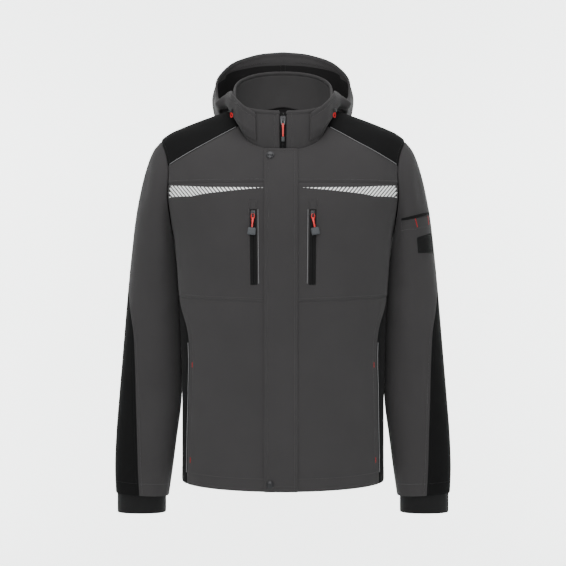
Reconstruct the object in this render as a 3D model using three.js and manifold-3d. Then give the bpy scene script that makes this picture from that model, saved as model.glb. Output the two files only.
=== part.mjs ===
// A hooded softshell work jacket, filled out as if worn, in millimetres.
// +Z is up, the front faces -Y and the wearer's left is +X. The origin is where the
// wearer's shoulders carry it: on the centre line, at the height of the shoulder ridge.
import * as THREE from "three";
import Module from "manifold-3d";

const wasm = await Module();
wasm.setup();

// Driving sizes.
const CLOTH = 1.8; // softshell wall
const KNIT = 2.2; // inner cuff wall
const SEAM_GAP = 0.3; // between neighbouring panels
const SEAT = 0.3; // between a panel and what lies on it
const ZIP_HALF_GAP = 7.7; // half of the slot between the two fronts
const HEM_Z = -728;
const HEM_RISE_AT_SIDE = 7;

// Torso: one horizontal section a row. Half width, depth to the front and to the back of
// the shoulder ridge, and the squareness of the superellipse that joins them.
const TORSO = [
  { z: -760, half: 201, front: 134, back: 124, square: 2.4 },
  { z: -640, half: 201, front: 132, back: 122, square: 2.4 },
  { z: -560, half: 201, front: 132, back: 120, square: 2.4 },
  { z: -460, half: 203, front: 134, back: 120, square: 2.45 },
  { z: -364, half: 207, front: 137, back: 124, square: 2.5 },
  { z: -300, half: 211, front: 140, back: 128, square: 2.5 },
  { z: -232, half: 218, front: 139, back: 131, square: 2.6 },
  { z: -160, half: 238, front: 131, back: 129, square: 2.6 },
  { z: -110, half: 243, front: 116, back: 121, square: 2.5 },
  { z: -72, half: 245, front: 98, back: 111, square: 2.4 },
  { z: -46, half: 242, front: 79, back: 101, square: 2.3 },
  { z: -32, half: 226, front: 70, back: 95, square: 2.2 },
  { z: -20, half: 200, front: 62, back: 90, square: 2.1 },
  { z: -8, half: 170, front: 54, back: 85, square: 2.1 },
  { z: 3, half: 140, front: 46, back: 80, square: 2.0 },
  { z: 19, half: 95, front: 34, back: 72, square: 2.0 },
  { z: 32, half: 58, front: 24, back: 65, square: 2.1 },
];

// Neckline, an oval seen from above.
const NECK = { half: 98, front: 98, back: 66, squareFront: 2.7, squareBack: 2.2 };
// Top edge of the collar, an oval in a plane that rises to the back.
const COLLAR_TOP = { half: 98, front: 95, back: 75, squareFront: 3, squareBack: 2.2 };
const COLLAR_TOP_FRONT_Z = 2;
const COLLAR_TOP_BACK_Z = 102;
const COLLAR_THICK = 3; // two layers
const COLLAR_BULGE = 2.5;
const COLLAR_TUCK = 2; // the collar's foot stands this far inside the neckline

// Armhole, an ellipse seen from the side.
const ARMHOLE = { y: 8, z: -139, halfY: 70, halfZ: 93 };
const deg = THREE.MathUtils.degToRad;
const ARM = {
  ridge: deg(6.6),
  yokeFront: deg(65.2),
  chestSeam: deg(88.8),
  sideFront: deg(151.9),
  sideBack: deg(209.1),
  yokeBack: deg(286.9),
};
const CHEST_SEAM_Z = -137;
const BELLY_SEAM_CENTRE_Z = -367;
const BELLY_SEAM_SIDE_Z = -356;
const YOKE_NECK_X = 88;

// Side seams seen from the side: depth y at height z, for the front and the back edge.
const SIDE_SEAM_FRONT = [
  { z: -760, y: -59 }, { z: -614, y: -62 }, { z: -544, y: -66 }, { z: -462, y: -72 },
  { z: -412, y: -66 }, { z: -356, y: -30 }, { z: -300, y: -23 }, { z: -220, y: -25 },
];
const SIDE_SEAM_BACK = [
  { z: -760, y: 60 }, { z: -544, y: 64 }, { z: -462, y: 66 }, { z: -412, y: 62 },
  { z: -356, y: 48 }, { z: -300, y: 42 }, { z: -219, y: 42 },
];

// Sleeve: each row is an oval section through an outer and an inner point in the front
// view, with its depth to the front and back. seam is the angle of the front seam between
// the grey and the black cloth, from the outer point (0) towards the front (90).
const SLEEVE = [
  { outX: 242, outZ: -46, inX: 219, inZ: -232, front: -62, back: 78, seam: -62 },
  { outX: 260, outZ: -68, inX: 219.6, inZ: -240, front: -64, back: 82, seam: -54 },
  { outX: 275, outZ: -108, inX: 217.4, inZ: -254, front: -64, back: 86, seam: -44 },
  { outX: 287, outZ: -156, inX: 214.7, inZ: -274, front: -61, back: 91, seam: -34 },
  { outX: 296, outZ: -204, inX: 212.2, inZ: -298, front: -55, back: 93, seam: -22 },
  { outX: 303, outZ: -262, inX: 209.9, inZ: -330, front: -51, back: 92, seam: -6 },
  { outX: 310, outZ: -330, inX: 207.4, inZ: -376, front: -47, back: 89, seam: 16 },
  { outX: 317, outZ: -410, inX: 204.7, inZ: -438, front: -43, back: 85, seam: 50 },
  { outX: 323, outZ: -484, inX: 202.9, inZ: -502, front: -41, back: 78, seam: 61 },
  { outX: 329, outZ: -560, inX: 204.2, inZ: -570, front: -41, back: 69, seam: 68 },
  { outX: 334, outZ: -630, inX: 212.5, inZ: -636, front: -41, back: 59, seam: 76 },
  { outX: 336, outZ: -695, inX: 220.5, inZ: -700, front: -40, back: 49, seam: 82 },
  { outX: 334, outZ: -747, inX: 228, inZ: -753, front: -38, back: 41, seam: 87 },
];
const SLEEVE_SQUARE = 2.3;
const SLEEVE_LIFT = 0.9; // the sleeve head starts this far off the armhole
const UNDERARM_SEAM = 200;
const CUFF = { outX: 331, inX: 233.5, front: -33, back: 36, row: 11.8, bottomZ: -786 };

// Hood, lying open behind the collar: one row for each station from its front end to the
// centre back. The seam is at an angle round the collar (0 front, 180 back), out from its
// face. Then come the drop behind it, the lowest point, the belly and the rim.
const HOOD_THICK = 1.8;
const HOOD_SEAM_RISE = 0.13; // share of the collar's height
const HOOD = [
  { seam: { angle: 29.6, out: 2.7 }, drop: [54, -95.5, -38], low: [54, -95.5, -26],
    belly: [54, -95, -14], rim: [54, -94, -2] },
  { seam: { angle: 43.2, out: 2.7 }, drop: [80, -85, -26], low: [80.5, -85, -12],
    belly: [80.5, -84.5, 2], rim: [79.5, -83, 16] },
  { seam: { angle: 59.8, out: 2.7 }, drop: [100, -58, -2], low: [101, -57, 11],
    belly: [101, -56, 24], rim: [99, -54, 38] },
  { seam: { angle: 75.1, out: 1.6 }, drop: [109, -27, 19], low: [114, -27, 25],
    belly: [115, -25, 38], rim: [104.5, -21, 51] },
  { seam: { angle: 91.7, out: 1.0 }, drop: [116, 2, 20], low: [129, 0, 18],
    belly: [136, 0, 30], rim: [121, 6, 39] },
  { seam: { angle: 110, out: 0.9 }, drop: [116, 28, 18], low: [129, 32, 11],
    belly: [139, 36, 34], rim: [134, 32, 48] },
  { seam: { angle: 124.5, out: 0.9 }, drop: [112, 60, 14], low: [135, 82, 4],
    belly: [144.5, 84, 45], rim: [134, 68, 88] },
  { seam: { angle: 143.1, out: 0.9 }, drop: [88, 92, -2], low: [116, 124, -34],
    belly: [127, 146, 42], rim: [107, 105, 124] },
  { seam: { angle: 161.2, out: 0.9 }, drop: [46, 101, -14], low: [60, 138, -58],
    belly: [69, 176, 36], rim: [56, 130, 146.5] },
  { seam: { angle: 180, out: 0.9 }, drop: [0, 105, -18], low: [0, 142, -66],
    belly: [0, 186, 32], rim: [0, 140, 154] },
];

// Storm flap over the front zip, wider towards the wearer's right.
const FLAP = { left: -35.5, right: 28, top: -71.5, thick: 2.6 };
const TAPE_HALF = 12;
const TAPE_THICK = 1.1;

// Chest pocket zips, mirrored.
const CHEST_ZIP = { topX: 57, bottomX: 55.5, topZ: -190, bottomZ: -333, half: 6, thick: 1.2 };
const GARAGE = { half: 7, height: 18, thick: 1 };
const PIPING_DIAMETER = 1.8;
const CHEST_PIPING_SIDE = 9.4; // from the zip's middle towards the centre front

// Pocket on the wearer's left sleeve: the sleeve row that its zip and its patch follow, by angle
// round the arm.
const SLEEVE_ZIP = { half: 2.3, thick: 1.2 };
const SLEEVE_ZIP_PATH = [
  { angle: 26, row: 3.69 }, { angle: 44, row: 3.545 }, { angle: 68, row: 3.16 },
  { angle: 92, row: 2.59 }, { angle: 104, row: 2.2 }, { angle: 116, row: 1.68 },
];
const SLEEVE_PATCH_PATH = [
  { angle: 33, row: 4.73 }, { angle: 48, row: 4.64 }, { angle: 63, row: 4.505 }, { angle: 78, row: 4.33 },
];
const SLEEVE_PATCH = { halfRows: 0.325, thick: 0.8 };

const SNAP = { x: -24.5, topZ: -85, bottomZ: -714, radius: 7.7, height: 3 };
// Drawcord ends, at a station of the hood and a share of its way up.
const CORD_END = { station: 1.85, share: 0.48, lift: 0.5, loopRadius: 3.7, cordRadius: 1.2 };

// Colours and finishes of the cloth and trims.
const COLOUR = {
  grey: { color: 0x464445, roughness: 0.85, metalness: 0 },
  black: { color: 0x1d1d1e, roughness: 0.9, metalness: 0 },
  knit: { color: 0x222223, roughness: 0.95, metalness: 0 },
  zip: { color: 0x141415, roughness: 0.6, metalness: 0 },
  metal: { color: 0x9a9b9d, roughness: 0.35, metalness: 1 },
  snap: { color: 0x3c3d3f, roughness: 0.4, metalness: 0.8 },
  red: { color: 0xd8301f, roughness: 0.45, metalness: 0 },
  rubber: { color: 0x5a6063, roughness: 0.55, metalness: 0 },
  reflective: { color: 0xb9bbbd, roughness: 0.4, metalness: 0.1 },
};

const V = (x, y, z) => new THREE.Vector3(x, y, z);
const mix = (a, b, t) => a + (b - a) * t;

// A smooth function through the rows of a table, from the column at to the column of.
function through(rows, at, of) {
  const x = rows.map((row) => row[at]);
  const y = rows.map((row) => row[of]);
  const last = x.length - 1;
  const slope = y.map((_, i) => {
    const low = Math.max(i - 1, 0);
    const high = Math.min(i + 1, last);
    return (y[high] - y[low]) / (x[high] - x[low]);
  });
  return (value) => {
    let i = 0;
    while (i < last - 1 && value > x[i + 1]) i++;
    const step = x[i + 1] - x[i];
    const t = (value - x[i]) / step;
    if (t < 0) return y[0] + slope[0] * (value - x[0]);
    if (t > 1) return y[last] + slope[last] * (value - x[last]);
    const t2 = t * t;
    const t3 = t2 * t;
    return (
      (2 * t3 - 3 * t2 + 1) * y[i] + (t3 - 2 * t2 + t) * step * slope[i] +
      (3 * t2 - 2 * t3) * y[i + 1] + (t3 - t2) * step * slope[i + 1]
    );
  };
}

const torso = Object.fromEntries(
  ["half", "front", "back", "square"].map((name) => [name, through(TORSO, "z", name)]),
);
const depthOn = (y, z) => (y < 0 ? torso.front(z) : torso.back(z));

// Below 1 inside the torso, 1 on its surface.
function torsoField(x, y, z) {
  const n = torso.square(z);
  return (Math.abs(x) / torso.half(z)) ** n + (Math.abs(y) / depthOn(y, z)) ** n;
}

// The point of the torso at an angle round it (0 front, 90 wearer's left, 180 back).
function wrap(angle, z) {
  const n = torso.square(z);
  const across = Math.sin(angle);
  const ahead = Math.cos(angle);
  const r = (Math.abs(across) ** n + Math.abs(ahead) ** n) ** (-1 / n);
  const depth = ahead > 0 ? torso.front(z) : torso.back(z);
  return V(torso.half(z) * r * across, -depth * r * ahead, z);
}
const other = (share, n) => Math.max(0, 1 - Math.abs(share) ** n) ** (1 / n);
const frontPoint = (x, z) =>
  V(x, -torso.front(z) * other(x / torso.half(z), torso.square(z)), z);
const sidePoint = (y, z) =>
  V(torso.half(z) * other(y / depthOn(y, z), torso.square(z)), y, z);
const angleOf = (p) =>
  Math.atan2(p.x / torso.half(p.z), -p.y / depthOn(p.y, p.z));

// The height of the torso under a point seen from above.
function topPoint(x, y) {
  let high = 31;
  while (high > -300 && torsoField(x, y, high) > 1) high -= 2;
  let low = high;
  high += 2;
  for (let i = 0; i < 40; i++) {
    const z = (low + high) / 2;
    if (torsoField(x, y, z) < 1) low = z;
    else high = z;
  }
  return V(x, y, low);
}

// Pushes a point near the torso onto its surface, away from the torso's axis.
function project(p) {
  const axis = V(0, 0, Math.min(p.z, -160));
  const ray = p.clone().sub(axis);
  let low = 0.4;
  let high = 1.8;
  for (let i = 0; i < 40; i++) {
    const k = (low + high) / 2;
    const q = axis.clone().addScaledVector(ray, k);
    if (torsoField(q.x, q.y, q.z) < 1) low = k;
    else high = k;
  }
  return axis.addScaledVector(ray, low);
}

function torsoNormal(p) {
  const h = 0.5;
  const slope = (dx, dy, dz) =>
    torsoField(p.x + dx, p.y + dy, p.z + dz) - torsoField(p.x - dx, p.y - dy, p.z - dz);
  return V(slope(h, 0, 0), slope(0, h, 0), slope(0, 0, h)).normalize();
}

// Closed outlines seen from above and from the side.
function oval(shape, angle) {
  const ahead = Math.cos(angle);
  const n = ahead > 0 ? shape.squareFront : shape.squareBack;
  const depth = ahead > 0 ? shape.front : shape.back;
  const r = (Math.abs(Math.sin(angle)) ** n + Math.abs(ahead) ** n) ** (-1 / n);
  return { x: shape.half * r * Math.sin(angle), y: -depth * r * ahead };
}
function neckPoint(angle) {
  const { x, y } = oval(NECK, angle);
  return topPoint(x, y);
}
const armPoint = (angle) =>
  sidePoint(
    ARMHOLE.y - ARMHOLE.halfY * Math.sin(angle),
    ARMHOLE.z + ARMHOLE.halfZ * Math.cos(angle),
  );
const hemZ = (angle) => HEM_Z + HEM_RISE_AT_SIDE * Math.sin(angle) ** 2;

// The angle of an outline at which it stands at a given x on the front.
function angleAtX(shape, x) {
  let low = 0;
  let high = Math.PI / 2;
  for (let i = 0; i < 40; i++) {
    const middle = (low + high) / 2;
    if (oval(shape, middle).x < x) low = middle;
    else high = middle;
  }
  return low;
}

// Curves, each a function of a share from 0 to 1.
const along = (curve, from, to) => (s) => curve(mix(from, to, s));
const join = (first, share, second) => (s) =>
  s < share ? first(s / share) : second((s - share) / (1 - share));
const around = (from, to) => (s) => {
  const [a, b] = [angleOf(from), angleOf(to)];
  return wrap(mix(a, b, s), mix(from.z, to.z, s));
};
const sideSeam = (table, fromZ, toZ) => {
  const depth = through(table, "z", "y");
  return (s) => {
    const z = mix(fromZ, toZ, s);
    return sidePoint(depth(z), z);
  };
};

// A grid of torso points between four edges that meet at their corners.
function patch({ bottom, top, left, right, columns, rows }) {
  const grid = [];
  for (let i = 0; i <= rows; i++) {
    const t = i / rows;
    const row = [];
    for (let j = 0; j <= columns; j++) {
      const s = j / columns;
      const edge = i === 0 || i === rows || j === 0 || j === columns;
      const p = V(0, 0, 0)
        .addScaledVector(bottom(s), 1 - t)
        .addScaledVector(top(s), t)
        .addScaledVector(left(t), 1 - s)
        .addScaledVector(right(t), s)
        .addScaledVector(bottom(0), -(1 - s) * (1 - t))
        .addScaledVector(bottom(1), -s * (1 - t))
        .addScaledVector(top(0), -(1 - s) * t)
        .addScaledVector(top(1), -s * t);
      row.push(edge ? p : project(p));
    }
    grid.push(row);
  }
  return grid;
}

// Draws the edges of an open grid in by half a seam gap.
function trim(grid, by = SEAM_GAP / 2, sides = ["first", "last", "left", "right"]) {
  const toward = (p, q) => p.add(q.clone().sub(p).setLength(by));
  const rows = grid.length - 1;
  const columns = grid[0].length - 1;
  if (sides.includes("first")) grid[0].forEach((p, j) => toward(p, grid[1][j]));
  if (sides.includes("last")) grid[rows].forEach((p, j) => toward(p, grid[rows - 1][j]));
  if (sides.includes("left")) grid.forEach((row) => toward(row[0], row[1]));
  if (sides.includes("right")) grid.forEach((row) => toward(row[columns], row[columns - 1]));
  return grid;
}

// Unit normals of a grid, all on the side that a rough outward direction points to.
function normalsOf(grid, outward, closed) {
  const rows = grid.length - 1;
  const columns = grid[0].length;
  let side = 0;
  const normals = grid.map((row, i) =>
    row.map((p, j) => {
      const up = grid[Math.min(i + 1, rows)][j];
      const down = grid[Math.max(i - 1, 0)][j];
      const after = closed ? row[(j + 1) % columns] : row[Math.min(j + 1, columns - 1)];
      const before = closed ? row[(j + columns - 1) % columns] : row[Math.max(j - 1, 0)];
      const n = after.clone().sub(before).cross(up.clone().sub(down)).normalize();
      side += n.dot(outward(p, i));
      return n;
    }),
  );
  if (side < 0) normals.forEach((row) => row.forEach((n) => n.negate()));
  return normals;
}

// A closed wall between two offsets of a grid along its normals.
function wall(grid, normals, outer, inner, closed = false) {
  const rows = grid.length;
  const columns = grid[0].length;
  const points = [];
  for (const offset of [outer, inner]) {
    grid.forEach((row, i) =>
      row.forEach((p, j) => points.push(p.clone().addScaledVector(normals[i][j], offset))),
    );
  }
  const at = (side, i, j) => side * rows * columns + i * columns + (j % columns);
  const faces = [];
  const quad = (a, b, c, d) => faces.push([a, b, c], [a, c, d]);
  const spans = closed ? columns : columns - 1;
  for (let i = 0; i < rows - 1; i++) {
    for (let j = 0; j < spans; j++) {
      quad(at(0, i, j), at(0, i, j + 1), at(0, i + 1, j + 1), at(0, i + 1, j));
      quad(at(1, i, j), at(1, i + 1, j), at(1, i + 1, j + 1), at(1, i, j + 1));
    }
  }
  for (let j = 0; j < spans; j++) {
    quad(at(0, 0, j), at(1, 0, j), at(1, 0, j + 1), at(0, 0, j + 1));
    quad(at(0, rows - 1, j), at(0, rows - 1, j + 1), at(1, rows - 1, j + 1), at(1, rows - 1, j));
  }
  if (!closed) {
    for (let i = 0; i < rows - 1; i++) {
      quad(at(0, i, 0), at(0, i + 1, 0), at(1, i + 1, 0), at(1, i, 0));
      const k = columns - 1;
      quad(at(0, i, k), at(1, i, k), at(1, i + 1, k), at(0, i + 1, k));
    }
  }
  return solidGeometry(points, faces);
}

// A geometry from points and triangles, turned so that its faces point out.
function solidGeometry(points, faces) {
  const volume = faces.reduce((sum, [a, b, c]) => {
    const cross = points[b].clone().cross(points[c]);
    return sum + points[a].dot(cross);
  }, 0);
  const index = faces.flatMap(([a, b, c]) => (volume < 0 ? [a, c, b] : [a, b, c]));
  const geometry = new THREE.BufferGeometry();
  geometry.setAttribute(
    "position",
    new THREE.Float32BufferAttribute(points.flatMap((p) => [p.x, p.y, p.z]), 3),
  );
  geometry.setIndex(index);
  geometry.computeVertexNormals();
  return geometry;
}

const jacket = new THREE.Group();

function add(name, geometry, colour, parent = jacket) {
  const mesh = new THREE.Mesh(geometry, new THREE.MeshStandardMaterial(COLOUR[colour]));
  mesh.name = name;
  parent.add(mesh);
  return mesh;
}

// The same geometry on the wearer's right.
function mirrored(geometry) {
  const copy = geometry.clone();
  copy.scale(-1, 1, 1);
  const index = copy.getIndex().array;
  for (let i = 0; i < index.length; i += 3) {
    [index[i + 1], index[i + 2]] = [index[i + 2], index[i + 1]];
  }
  return copy;
}
function addPair(name, geometry, colour) {
  add(name + "_l", geometry, colour);
  add(name + "_r", mirrored(geometry), colour);
}

function torsoWall(grid, outer = 0, inner = -CLOTH) {
  return wall(grid, grid.map((row) => row.map(torsoNormal)), outer, inner);
}

// Panels of the body. Neighbours share these counts, so that their edges match.
const STEPS = {
  neck: 4, ridge: 5, low: 8, mid: 5, midArm: 5, top: 5, yoke: 5, backArm: 4, side: 5,
  sleeveFront: 14, sleeveBack: 10,
};
STEPS.half = STEPS.neck + STEPS.ridge;
const zipLine = (fromZ, toZ) => (s) => frontPoint(ZIP_HALF_GAP, mix(fromZ, toZ, s));
const neckAtZip = angleAtX(NECK, ZIP_HALF_GAP);
const neckAtYoke = angleAtX(NECK, YOKE_NECK_X);
const neckZipZ = neckPoint(neckAtZip).z;
const hemLine = (from, to) => (s) => {
  const angle = mix(from, to, s);
  return wrap(angle, hemZ(angle));
};

function seamAngles(table) {
  const depth = through(table, "z", "y");
  return angleOf(sidePoint(depth(HEM_Z), HEM_Z));
}
const hemFrontAngle = seamAngles(SIDE_SEAM_FRONT);
const hemBackAngle = seamAngles(SIDE_SEAM_BACK);
const hemAtZip = angleOf(frontPoint(ZIP_HALF_GAP, HEM_Z));
const frontSeamTo = (z) => sideSeam(SIDE_SEAM_FRONT, z, z)(0);

const bellyCentre = frontPoint(ZIP_HALF_GAP, BELLY_SEAM_CENTRE_Z);
const bellySide = frontSeamTo(BELLY_SEAM_SIDE_Z);
const bellySeam = around(bellyCentre, bellySide);
const chestCentre = frontPoint(ZIP_HALF_GAP, CHEST_SEAM_Z);
const chestSeam = around(chestCentre, armPoint(ARM.chestSeam));
const yokeSeam = (s) => {
  const [neck, arm] = [neckPoint(neckAtYoke), armPoint(ARM.yokeFront)];
  return frontPoint(mix(neck.x, arm.x, s), mix(neck.z, arm.z, s));
};
const ridge = (s) => {
  const [neck, arm] = [neckPoint(Math.PI / 2), armPoint(ARM.ridge)];
  return topPoint(mix(neck.x, arm.x, s), mix(neck.y, arm.y, s));
};

function frontLow() {
  const hemSideZ = hemZ(hemFrontAngle);
  return patch({
    bottom: hemLine(hemAtZip, hemFrontAngle),
    top: bellySeam,
    left: zipLine(hemZ(hemAtZip), BELLY_SEAM_CENTRE_Z),
    right: sideSeam(SIDE_SEAM_FRONT, hemSideZ, BELLY_SEAM_SIDE_Z),
    columns: STEPS.half,
    rows: STEPS.low,
  });
}
function frontMid() {
  const armZ = armPoint(ARM.sideFront).z;
  return patch({
    bottom: bellySeam,
    top: chestSeam,
    left: zipLine(BELLY_SEAM_CENTRE_Z, CHEST_SEAM_Z),
    right: join(
      sideSeam(SIDE_SEAM_FRONT, BELLY_SEAM_SIDE_Z, armZ),
      STEPS.mid / (STEPS.mid + STEPS.midArm),
      along(armPoint, ARM.sideFront, ARM.chestSeam),
    ),
    columns: STEPS.half,
    rows: STEPS.mid + STEPS.midArm,
  });
}
function frontTop() {
  return patch({
    bottom: chestSeam,
    top: join(along(neckPoint, neckAtZip, neckAtYoke), STEPS.neck / STEPS.half, yokeSeam),
    left: zipLine(CHEST_SEAM_Z, neckZipZ),
    right: along(armPoint, ARM.chestSeam, ARM.yokeFront),
    columns: STEPS.half,
    rows: STEPS.top,
  });
}
function shoulderYoke() {
  return patch({
    bottom: yokeSeam,
    top: ridge,
    left: along(neckPoint, neckAtYoke, Math.PI / 2),
    right: along(armPoint, ARM.yokeFront, ARM.ridge),
    columns: STEPS.ridge,
    rows: STEPS.yoke,
  });
}
// A curve on both sides of the body, from the wearer's right to the left.
const across = (half) => (s) => {
  const p = half(Math.abs(2 * s - 1));
  return s < 0.5 ? V(-p.x, p.y, p.z) : p;
};
const onRight = (curve) => (s) => {
  const p = curve(s);
  return V(-p.x, p.y, p.z);
};
function backYoke() {
  const seamEnd = armPoint(ARM.yokeBack);
  const endAngle = angleOf(seamEnd);
  const armSide = along(armPoint, ARM.yokeBack - 2 * Math.PI, ARM.ridge);
  return patch({
    bottom: across((s) => wrap(mix(Math.PI, endAngle, s), seamEnd.z)),
    top: across(join(along(neckPoint, Math.PI, Math.PI / 2), STEPS.neck / STEPS.half, ridge)),
    left: onRight(armSide),
    right: armSide,
    columns: 2 * STEPS.half,
    rows: STEPS.yoke,
  });
}
const sideRows = STEPS.low + STEPS.mid;
function backMain() {
  const seamEnd = armPoint(ARM.yokeBack);
  const endAngle = angleOf(seamEnd);
  const side = join(
    sideSeam(SIDE_SEAM_BACK, hemZ(hemBackAngle), armPoint(ARM.sideBack).z),
    sideRows / (sideRows + STEPS.backArm),
    along(armPoint, ARM.sideBack, ARM.yokeBack),
  );
  return patch({
    bottom: across(hemLine(Math.PI, hemBackAngle)),
    top: across((s) => wrap(mix(Math.PI, endAngle, s), seamEnd.z)),
    left: onRight(side),
    right: side,
    columns: 2 * STEPS.half,
    rows: sideRows + STEPS.backArm,
  });
}
function sidePanel() {
  return patch({
    bottom: hemLine(hemFrontAngle, hemBackAngle),
    top: along(armPoint, ARM.sideFront, ARM.sideBack),
    left: join(
      sideSeam(SIDE_SEAM_FRONT, hemZ(hemFrontAngle), BELLY_SEAM_SIDE_Z),
      STEPS.low / sideRows,
      sideSeam(SIDE_SEAM_FRONT, BELLY_SEAM_SIDE_Z, armPoint(ARM.sideFront).z),
    ),
    right: sideSeam(SIDE_SEAM_BACK, hemZ(hemBackAngle), armPoint(ARM.sideBack).z),
    columns: STEPS.side,
    rows: sideRows,
  });
}

addPair("front_low", torsoWall(trim(frontLow())), "grey");
addPair("front_mid", torsoWall(trim(frontMid())), "grey");
addPair("front_top", torsoWall(trim(frontTop())), "grey");
addPair("yoke", torsoWall(trim(shoulderYoke())), "black");
addPair("side", torsoWall(trim(sidePanel())), "black");
add("back_yoke", torsoWall(trim(backYoke())), "black");
add("back_main", torsoWall(trim(backMain())), "grey");

// Sleeves.
const sleeveRows = SLEEVE.map((row, k) => ({ ...row, k }));
const sleeve = Object.fromEntries(
  ["outX", "outZ", "inX", "inZ", "front", "back", "seam"].map((name) => [
    name,
    through(sleeveRows, "k", name),
  ]),
);
const HEAD_ROWS = 4; // over these rows the armhole's shape fades into the plain oval

function sleeveOval(k, angle) {
  const n = SLEEVE_SQUARE;
  const [c, s] = [Math.cos(angle), Math.sin(angle)];
  const r = (Math.abs(c) ** n + Math.abs(s) ** n) ** (-1 / n);
  const across = r * c;
  const ahead = r * s;
  const middleX = (sleeve.outX(k) + sleeve.inX(k)) / 2;
  const middleZ = (sleeve.outZ(k) + sleeve.inZ(k)) / 2;
  const middleY = (sleeve.front(k) + sleeve.back(k)) / 2;
  return V(
    middleX + ((sleeve.outX(k) - sleeve.inX(k)) / 2) * across,
    middleY - ((sleeve.back(k) - sleeve.front(k)) / 2) * ahead,
    middleZ + ((sleeve.outZ(k) - sleeve.inZ(k)) / 2) * across,
  );
}
function sleevePoint(k, angle) {
  const p = sleeveOval(k, angle);
  const fade = Math.max(0, 1 - k / HEAD_ROWS) ** 2;
  if (fade > 0) p.add(armPoint(angle).sub(sleeveOval(0, angle)).multiplyScalar(fade));
  p.x += SLEEVE_LIFT * Math.max(0, 1 - k);
  return p;
}
const sleeveAxis = (k) =>
  V(
    (sleeve.outX(k) + sleeve.inX(k)) / 2,
    (sleeve.front(k) + sleeve.back(k)) / 2,
    (sleeve.outZ(k) + sleeve.inZ(k)) / 2,
  );

function sleeveNormal(k, angle) {
  const h = 0.04;
  const above = Math.max(k - h, 0);
  const down = sleevePoint(above + 2 * h, angle).sub(sleevePoint(above, angle));
  const round = sleevePoint(k, angle + h).sub(sleevePoint(k, angle - h));
  const n = down.cross(round).normalize();
  return n.dot(sleevePoint(k, angle).sub(sleeveAxis(k))) < 0 ? n.negate() : n;
}

// A sleeve panel between two angles, each a function of the row.
function sleevePanel(from, to, columns, rows) {
  const last = SLEEVE.length - 1;
  const grid = [];
  const k = (i) => (i / rows) * last;
  for (let i = 0; i <= rows; i++) {
    const row = [];
    for (let j = 0; j <= columns; j++) {
      row.push(sleevePoint(k(i), deg(mix(from(k(i)), to(k(i)), j / columns))));
    }
    grid.push(row);
  }
  const normals = grid.map((row, i) =>
    row.map((_, j) => sleeveNormal(k(i), deg(mix(from(k(i)), to(k(i)), j / columns)))),
  );
  trim(grid, SEAM_GAP / 2, ["left", "right"]);
  return wall(grid, normals, 0, -CLOTH);
}
const SLEEVE_GRID_ROWS = 15;
addPair(
  "sleeve_front",
  sleevePanel(sleeve.seam, () => UNDERARM_SEAM, STEPS.sleeveFront, SLEEVE_GRID_ROWS),
  "grey",
);
addPair(
  "sleeve_back",
  sleevePanel(() => UNDERARM_SEAM - 360, sleeve.seam, STEPS.sleeveBack, SLEEVE_GRID_ROWS),
  "black",
);

// Inner cuffs. The top edge fits inside the sleeve's end, at the sleeve's own angles.
function cuffPoint(angle, z) {
  const n = SLEEVE_SQUARE;
  const [c, s] = [Math.cos(angle), Math.sin(angle)];
  const r = (Math.abs(c) ** n + Math.abs(s) ** n) ** (-1 / n);
  return V(
    (CUFF.outX + CUFF.inX) / 2 + ((CUFF.outX - CUFF.inX) / 2) * r * c,
    (CUFF.front + CUFF.back) / 2 - ((CUFF.back - CUFF.front) / 2) * r * s,
    z,
  );
}
function cuff() {
  const seam = sleeve.seam(CUFF.row);
  const angles = [];
  for (let j = 0; j < STEPS.sleeveFront; j++) {
    angles.push(mix(seam, UNDERARM_SEAM, j / STEPS.sleeveFront));
  }
  for (let j = 0; j < STEPS.sleeveBack; j++) {
    angles.push(mix(UNDERARM_SEAM, seam + 360, j / STEPS.sleeveBack));
  }
  const topRow = angles.map(deg).map((angle) =>
    sleevePoint(CUFF.row, angle).addScaledVector(sleeveNormal(CUFF.row, angle), -CLOTH - 2 * SEAT),
  );
  const lower = [-752, -768, CUFF.bottomZ].map((z) =>
    angles.map((angle) => cuffPoint(deg(angle), z)),
  );
  const grid = [topRow, ...lower];
  const [middleX, middleY] = [(CUFF.outX + CUFF.inX) / 2, (CUFF.front + CUFF.back) / 2];
  const outward = (p) => V(p.x - middleX, p.y - middleY, 0);
  return wall(grid, normalsOf(grid, outward, true), 0, -KNIT, true);
}
addPair("cuff", cuff(), "knit");

// Stand collar, open at the zip.
function collarTop(angle) {
  const { x, y } = oval(COLLAR_TOP, angle);
  const share = (y + COLLAR_TOP.front) / (COLLAR_TOP.front + COLLAR_TOP.back);
  return V(x, y, mix(COLLAR_TOP_FRONT_Z, COLLAR_TOP_BACK_Z, share));
}
function collarPoint(angle, rise) {
  const foot = neckPoint(angle);
  const inwards = V(-foot.x, -foot.y, 0).setLength(COLLAR_TUCK);
  const p = foot.add(inwards).lerp(collarTop(angle), rise);
  const outwards = V(p.x, p.y, 0).normalize();
  return p.addScaledVector(outwards, COLLAR_BULGE * Math.sin(Math.PI * rise));
}
// The angles at which the body's panels meet the neckline, from zip to zip.
function neckAngles() {
  const left = [];
  const span = (from, to, steps) => {
    for (let i = 0; i < steps; i++) left.push(mix(from, to, i / steps));
  };
  span(neckAtZip, neckAtYoke, STEPS.neck);
  span(neckAtYoke, Math.PI / 2, STEPS.yoke);
  span(Math.PI / 2, Math.PI, STEPS.neck);
  return [...left, Math.PI, ...left.reverse().map((angle) => 2 * Math.PI - angle)];
}
const COLLAR_FOOT = -0.012; // the foot dips below the neckline by this share of the height
function collar() {
  const levels = [COLLAR_FOOT, 0.25, 0.5, 0.75, 1];
  const grid = levels.map((level) => neckAngles().map((angle) => collarPoint(angle, level)));
  const normals = normalsOf(grid, (p) => V(p.x, p.y, 0));
  return wall(grid, normals, 0, -COLLAR_THICK);
}
add("collar", collar(), "grey");

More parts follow.
